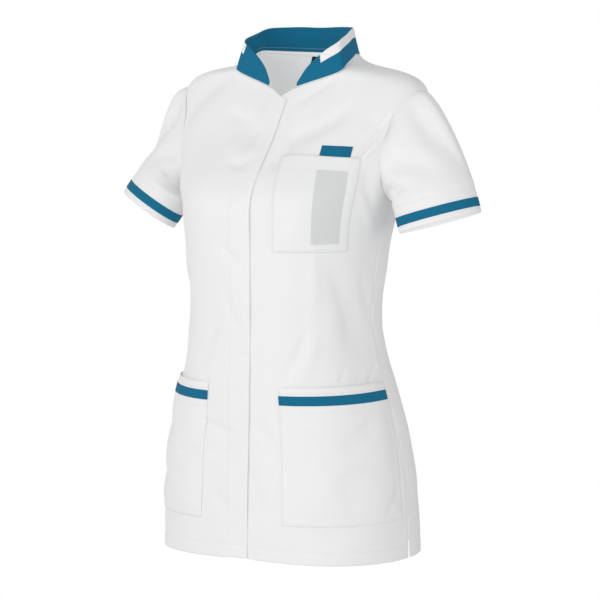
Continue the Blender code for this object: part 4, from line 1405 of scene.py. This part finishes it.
def sew(name, material, seams):
    """One object of stitches along these seams, each a line of points and its normals."""
    parts = [seam_points(line, normals) for line, normals in seams]
    points, along, normal = (np.concatenate([part[k] for part in parts]) for k in range(3))
    mesh = bpy.data.meshes.new(name)
    mesh.from_pydata(points.tolist(), [], [])
    for label_text, values in (("along", along), ("normal", normal)):
        layer = mesh.attributes.new(label_text, "FLOAT_VECTOR", "POINT")
        layer.data.foreach_set("vector", values.astype(np.float32).ravel())
    seed = add_object(name + "_seed", mesh)
    tree, sizes = stitch_tree(material)
    modifier = seed.modifiers.new("Stitches", "NODES")
    modifier.node_group = tree
    for size, identifier in sizes.items():
        modifier[identifier] = STITCH_SIZES[size]
    seed.update_tag()
    bpy.context.view_layer.update()
    depsgraph = bpy.context.evaluated_depsgraph_get()
    real = bpy.data.meshes.new_from_object(seed.evaluated_get(depsgraph))
    real.name = name
    bpy.data.objects.remove(seed)
    item = add_object(name, real)
    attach(item, "root")
    print(name + ":", len(points), "stitches,", len(real.polygons), "faces")


def lifted(grid, normals, place, lift=0.0):
    """One line of a grid and its normals, moved out."""
    return grid[place] + normals[place] * lift, normals[place]


def level_line(grid, normals, z_grid, height, columns=slice(None), lift=0.0):
    """The line at this height across a grid, read column by column."""
    both = np.concatenate([grid, normals], axis=2)
    line = np.array([[np.interp(height, z_grid[:, j], both[:, j, k]) for k in range(6)]
                     for j in range(*columns.indices(grid.shape[1]))])
    return line[:, :3] + line[:, 3:] * lift, line[:, 3:]


def sewn_edges(pocket, normals):
    """The three sewn edges of a pocket: its foot and its two sides, one place in from the edge."""
    return [lifted(pocket, normals, place, CLOTH) for place in (1, (slice(None), 1), (slice(None), -2))]


# %% [markdown]
# White thread holds the hems, the fly, the pockets and the collar's inside. Two small grey
# bar tacks sit on the fly, and blue thread holds the neck tape.

# %% Stitches
BAR_TACKS = ((0.019, -0.419), (0.023, -0.545))
hem_row = front.row(row_named("hem_line"))
white = [lifted(points, normals, hem_row) for points, normals in
         ((left_points, left_normals), (right_points, right_normals), (back_points, back_normals))]
fly_rows = slice(front.row(row_named("hem")) + 4, len(front.rows_at) - FINE_STEPS)
turned = (1, 0, 2)
white.append(level_line(right_points.transpose(turned), right_normals.transpose(turned), front.s.T,
                        PLACKET_LINE, fly_rows))
for sleeve in sleeves.values():
    row = int(np.argmin(np.abs(sleeve.walked[-1] - sleeve.walked - SLEEVE_HEM_LINE)))
    white.append([np.concatenate([ring, ring[:1]]) for ring in (sleeve.points[row], sleeve.normals[row])])
for pocket, normals, z in hip_pockets.values():
    white += [level_line(pocket, normals, z, height, lift=CLOTH) for height in (POCKET_HEM_Z, POCKET_LINE_Z)]
    white += sewn_edges(pocket, normals)
white.append(level_line(breast, breast_normals, breast_z, -BREAST_HEM_DROP, lift=CLOTH))
white += sewn_edges(breast, breast_normals)
white.append(lifted(collar, -collar_normals, (COLLAR_PARTS[0] + 2, tape_columns), COLLAR_CLOTH))
sew("stitches_white", white_thread, white)
tacks = []
for s_place, height in BAR_TACKS:
    column = int(np.argmin(np.abs(front.s[hem_row] - s_place)))
    rows_near = np.sort(np.argsort(np.abs(front.z[:, column] - height))[:3])
    tacks.append(lifted(right_points, right_normals, (rows_near, column)))
sew("bar_tacks", grey_thread, tacks)
sew("stitches_blue", blue_thread, [lifted(tape, -tape_normals, row, TRIM) for row in (-1, 1)])
for name, size in flat_sizes.items():
    print("cut", name, size)
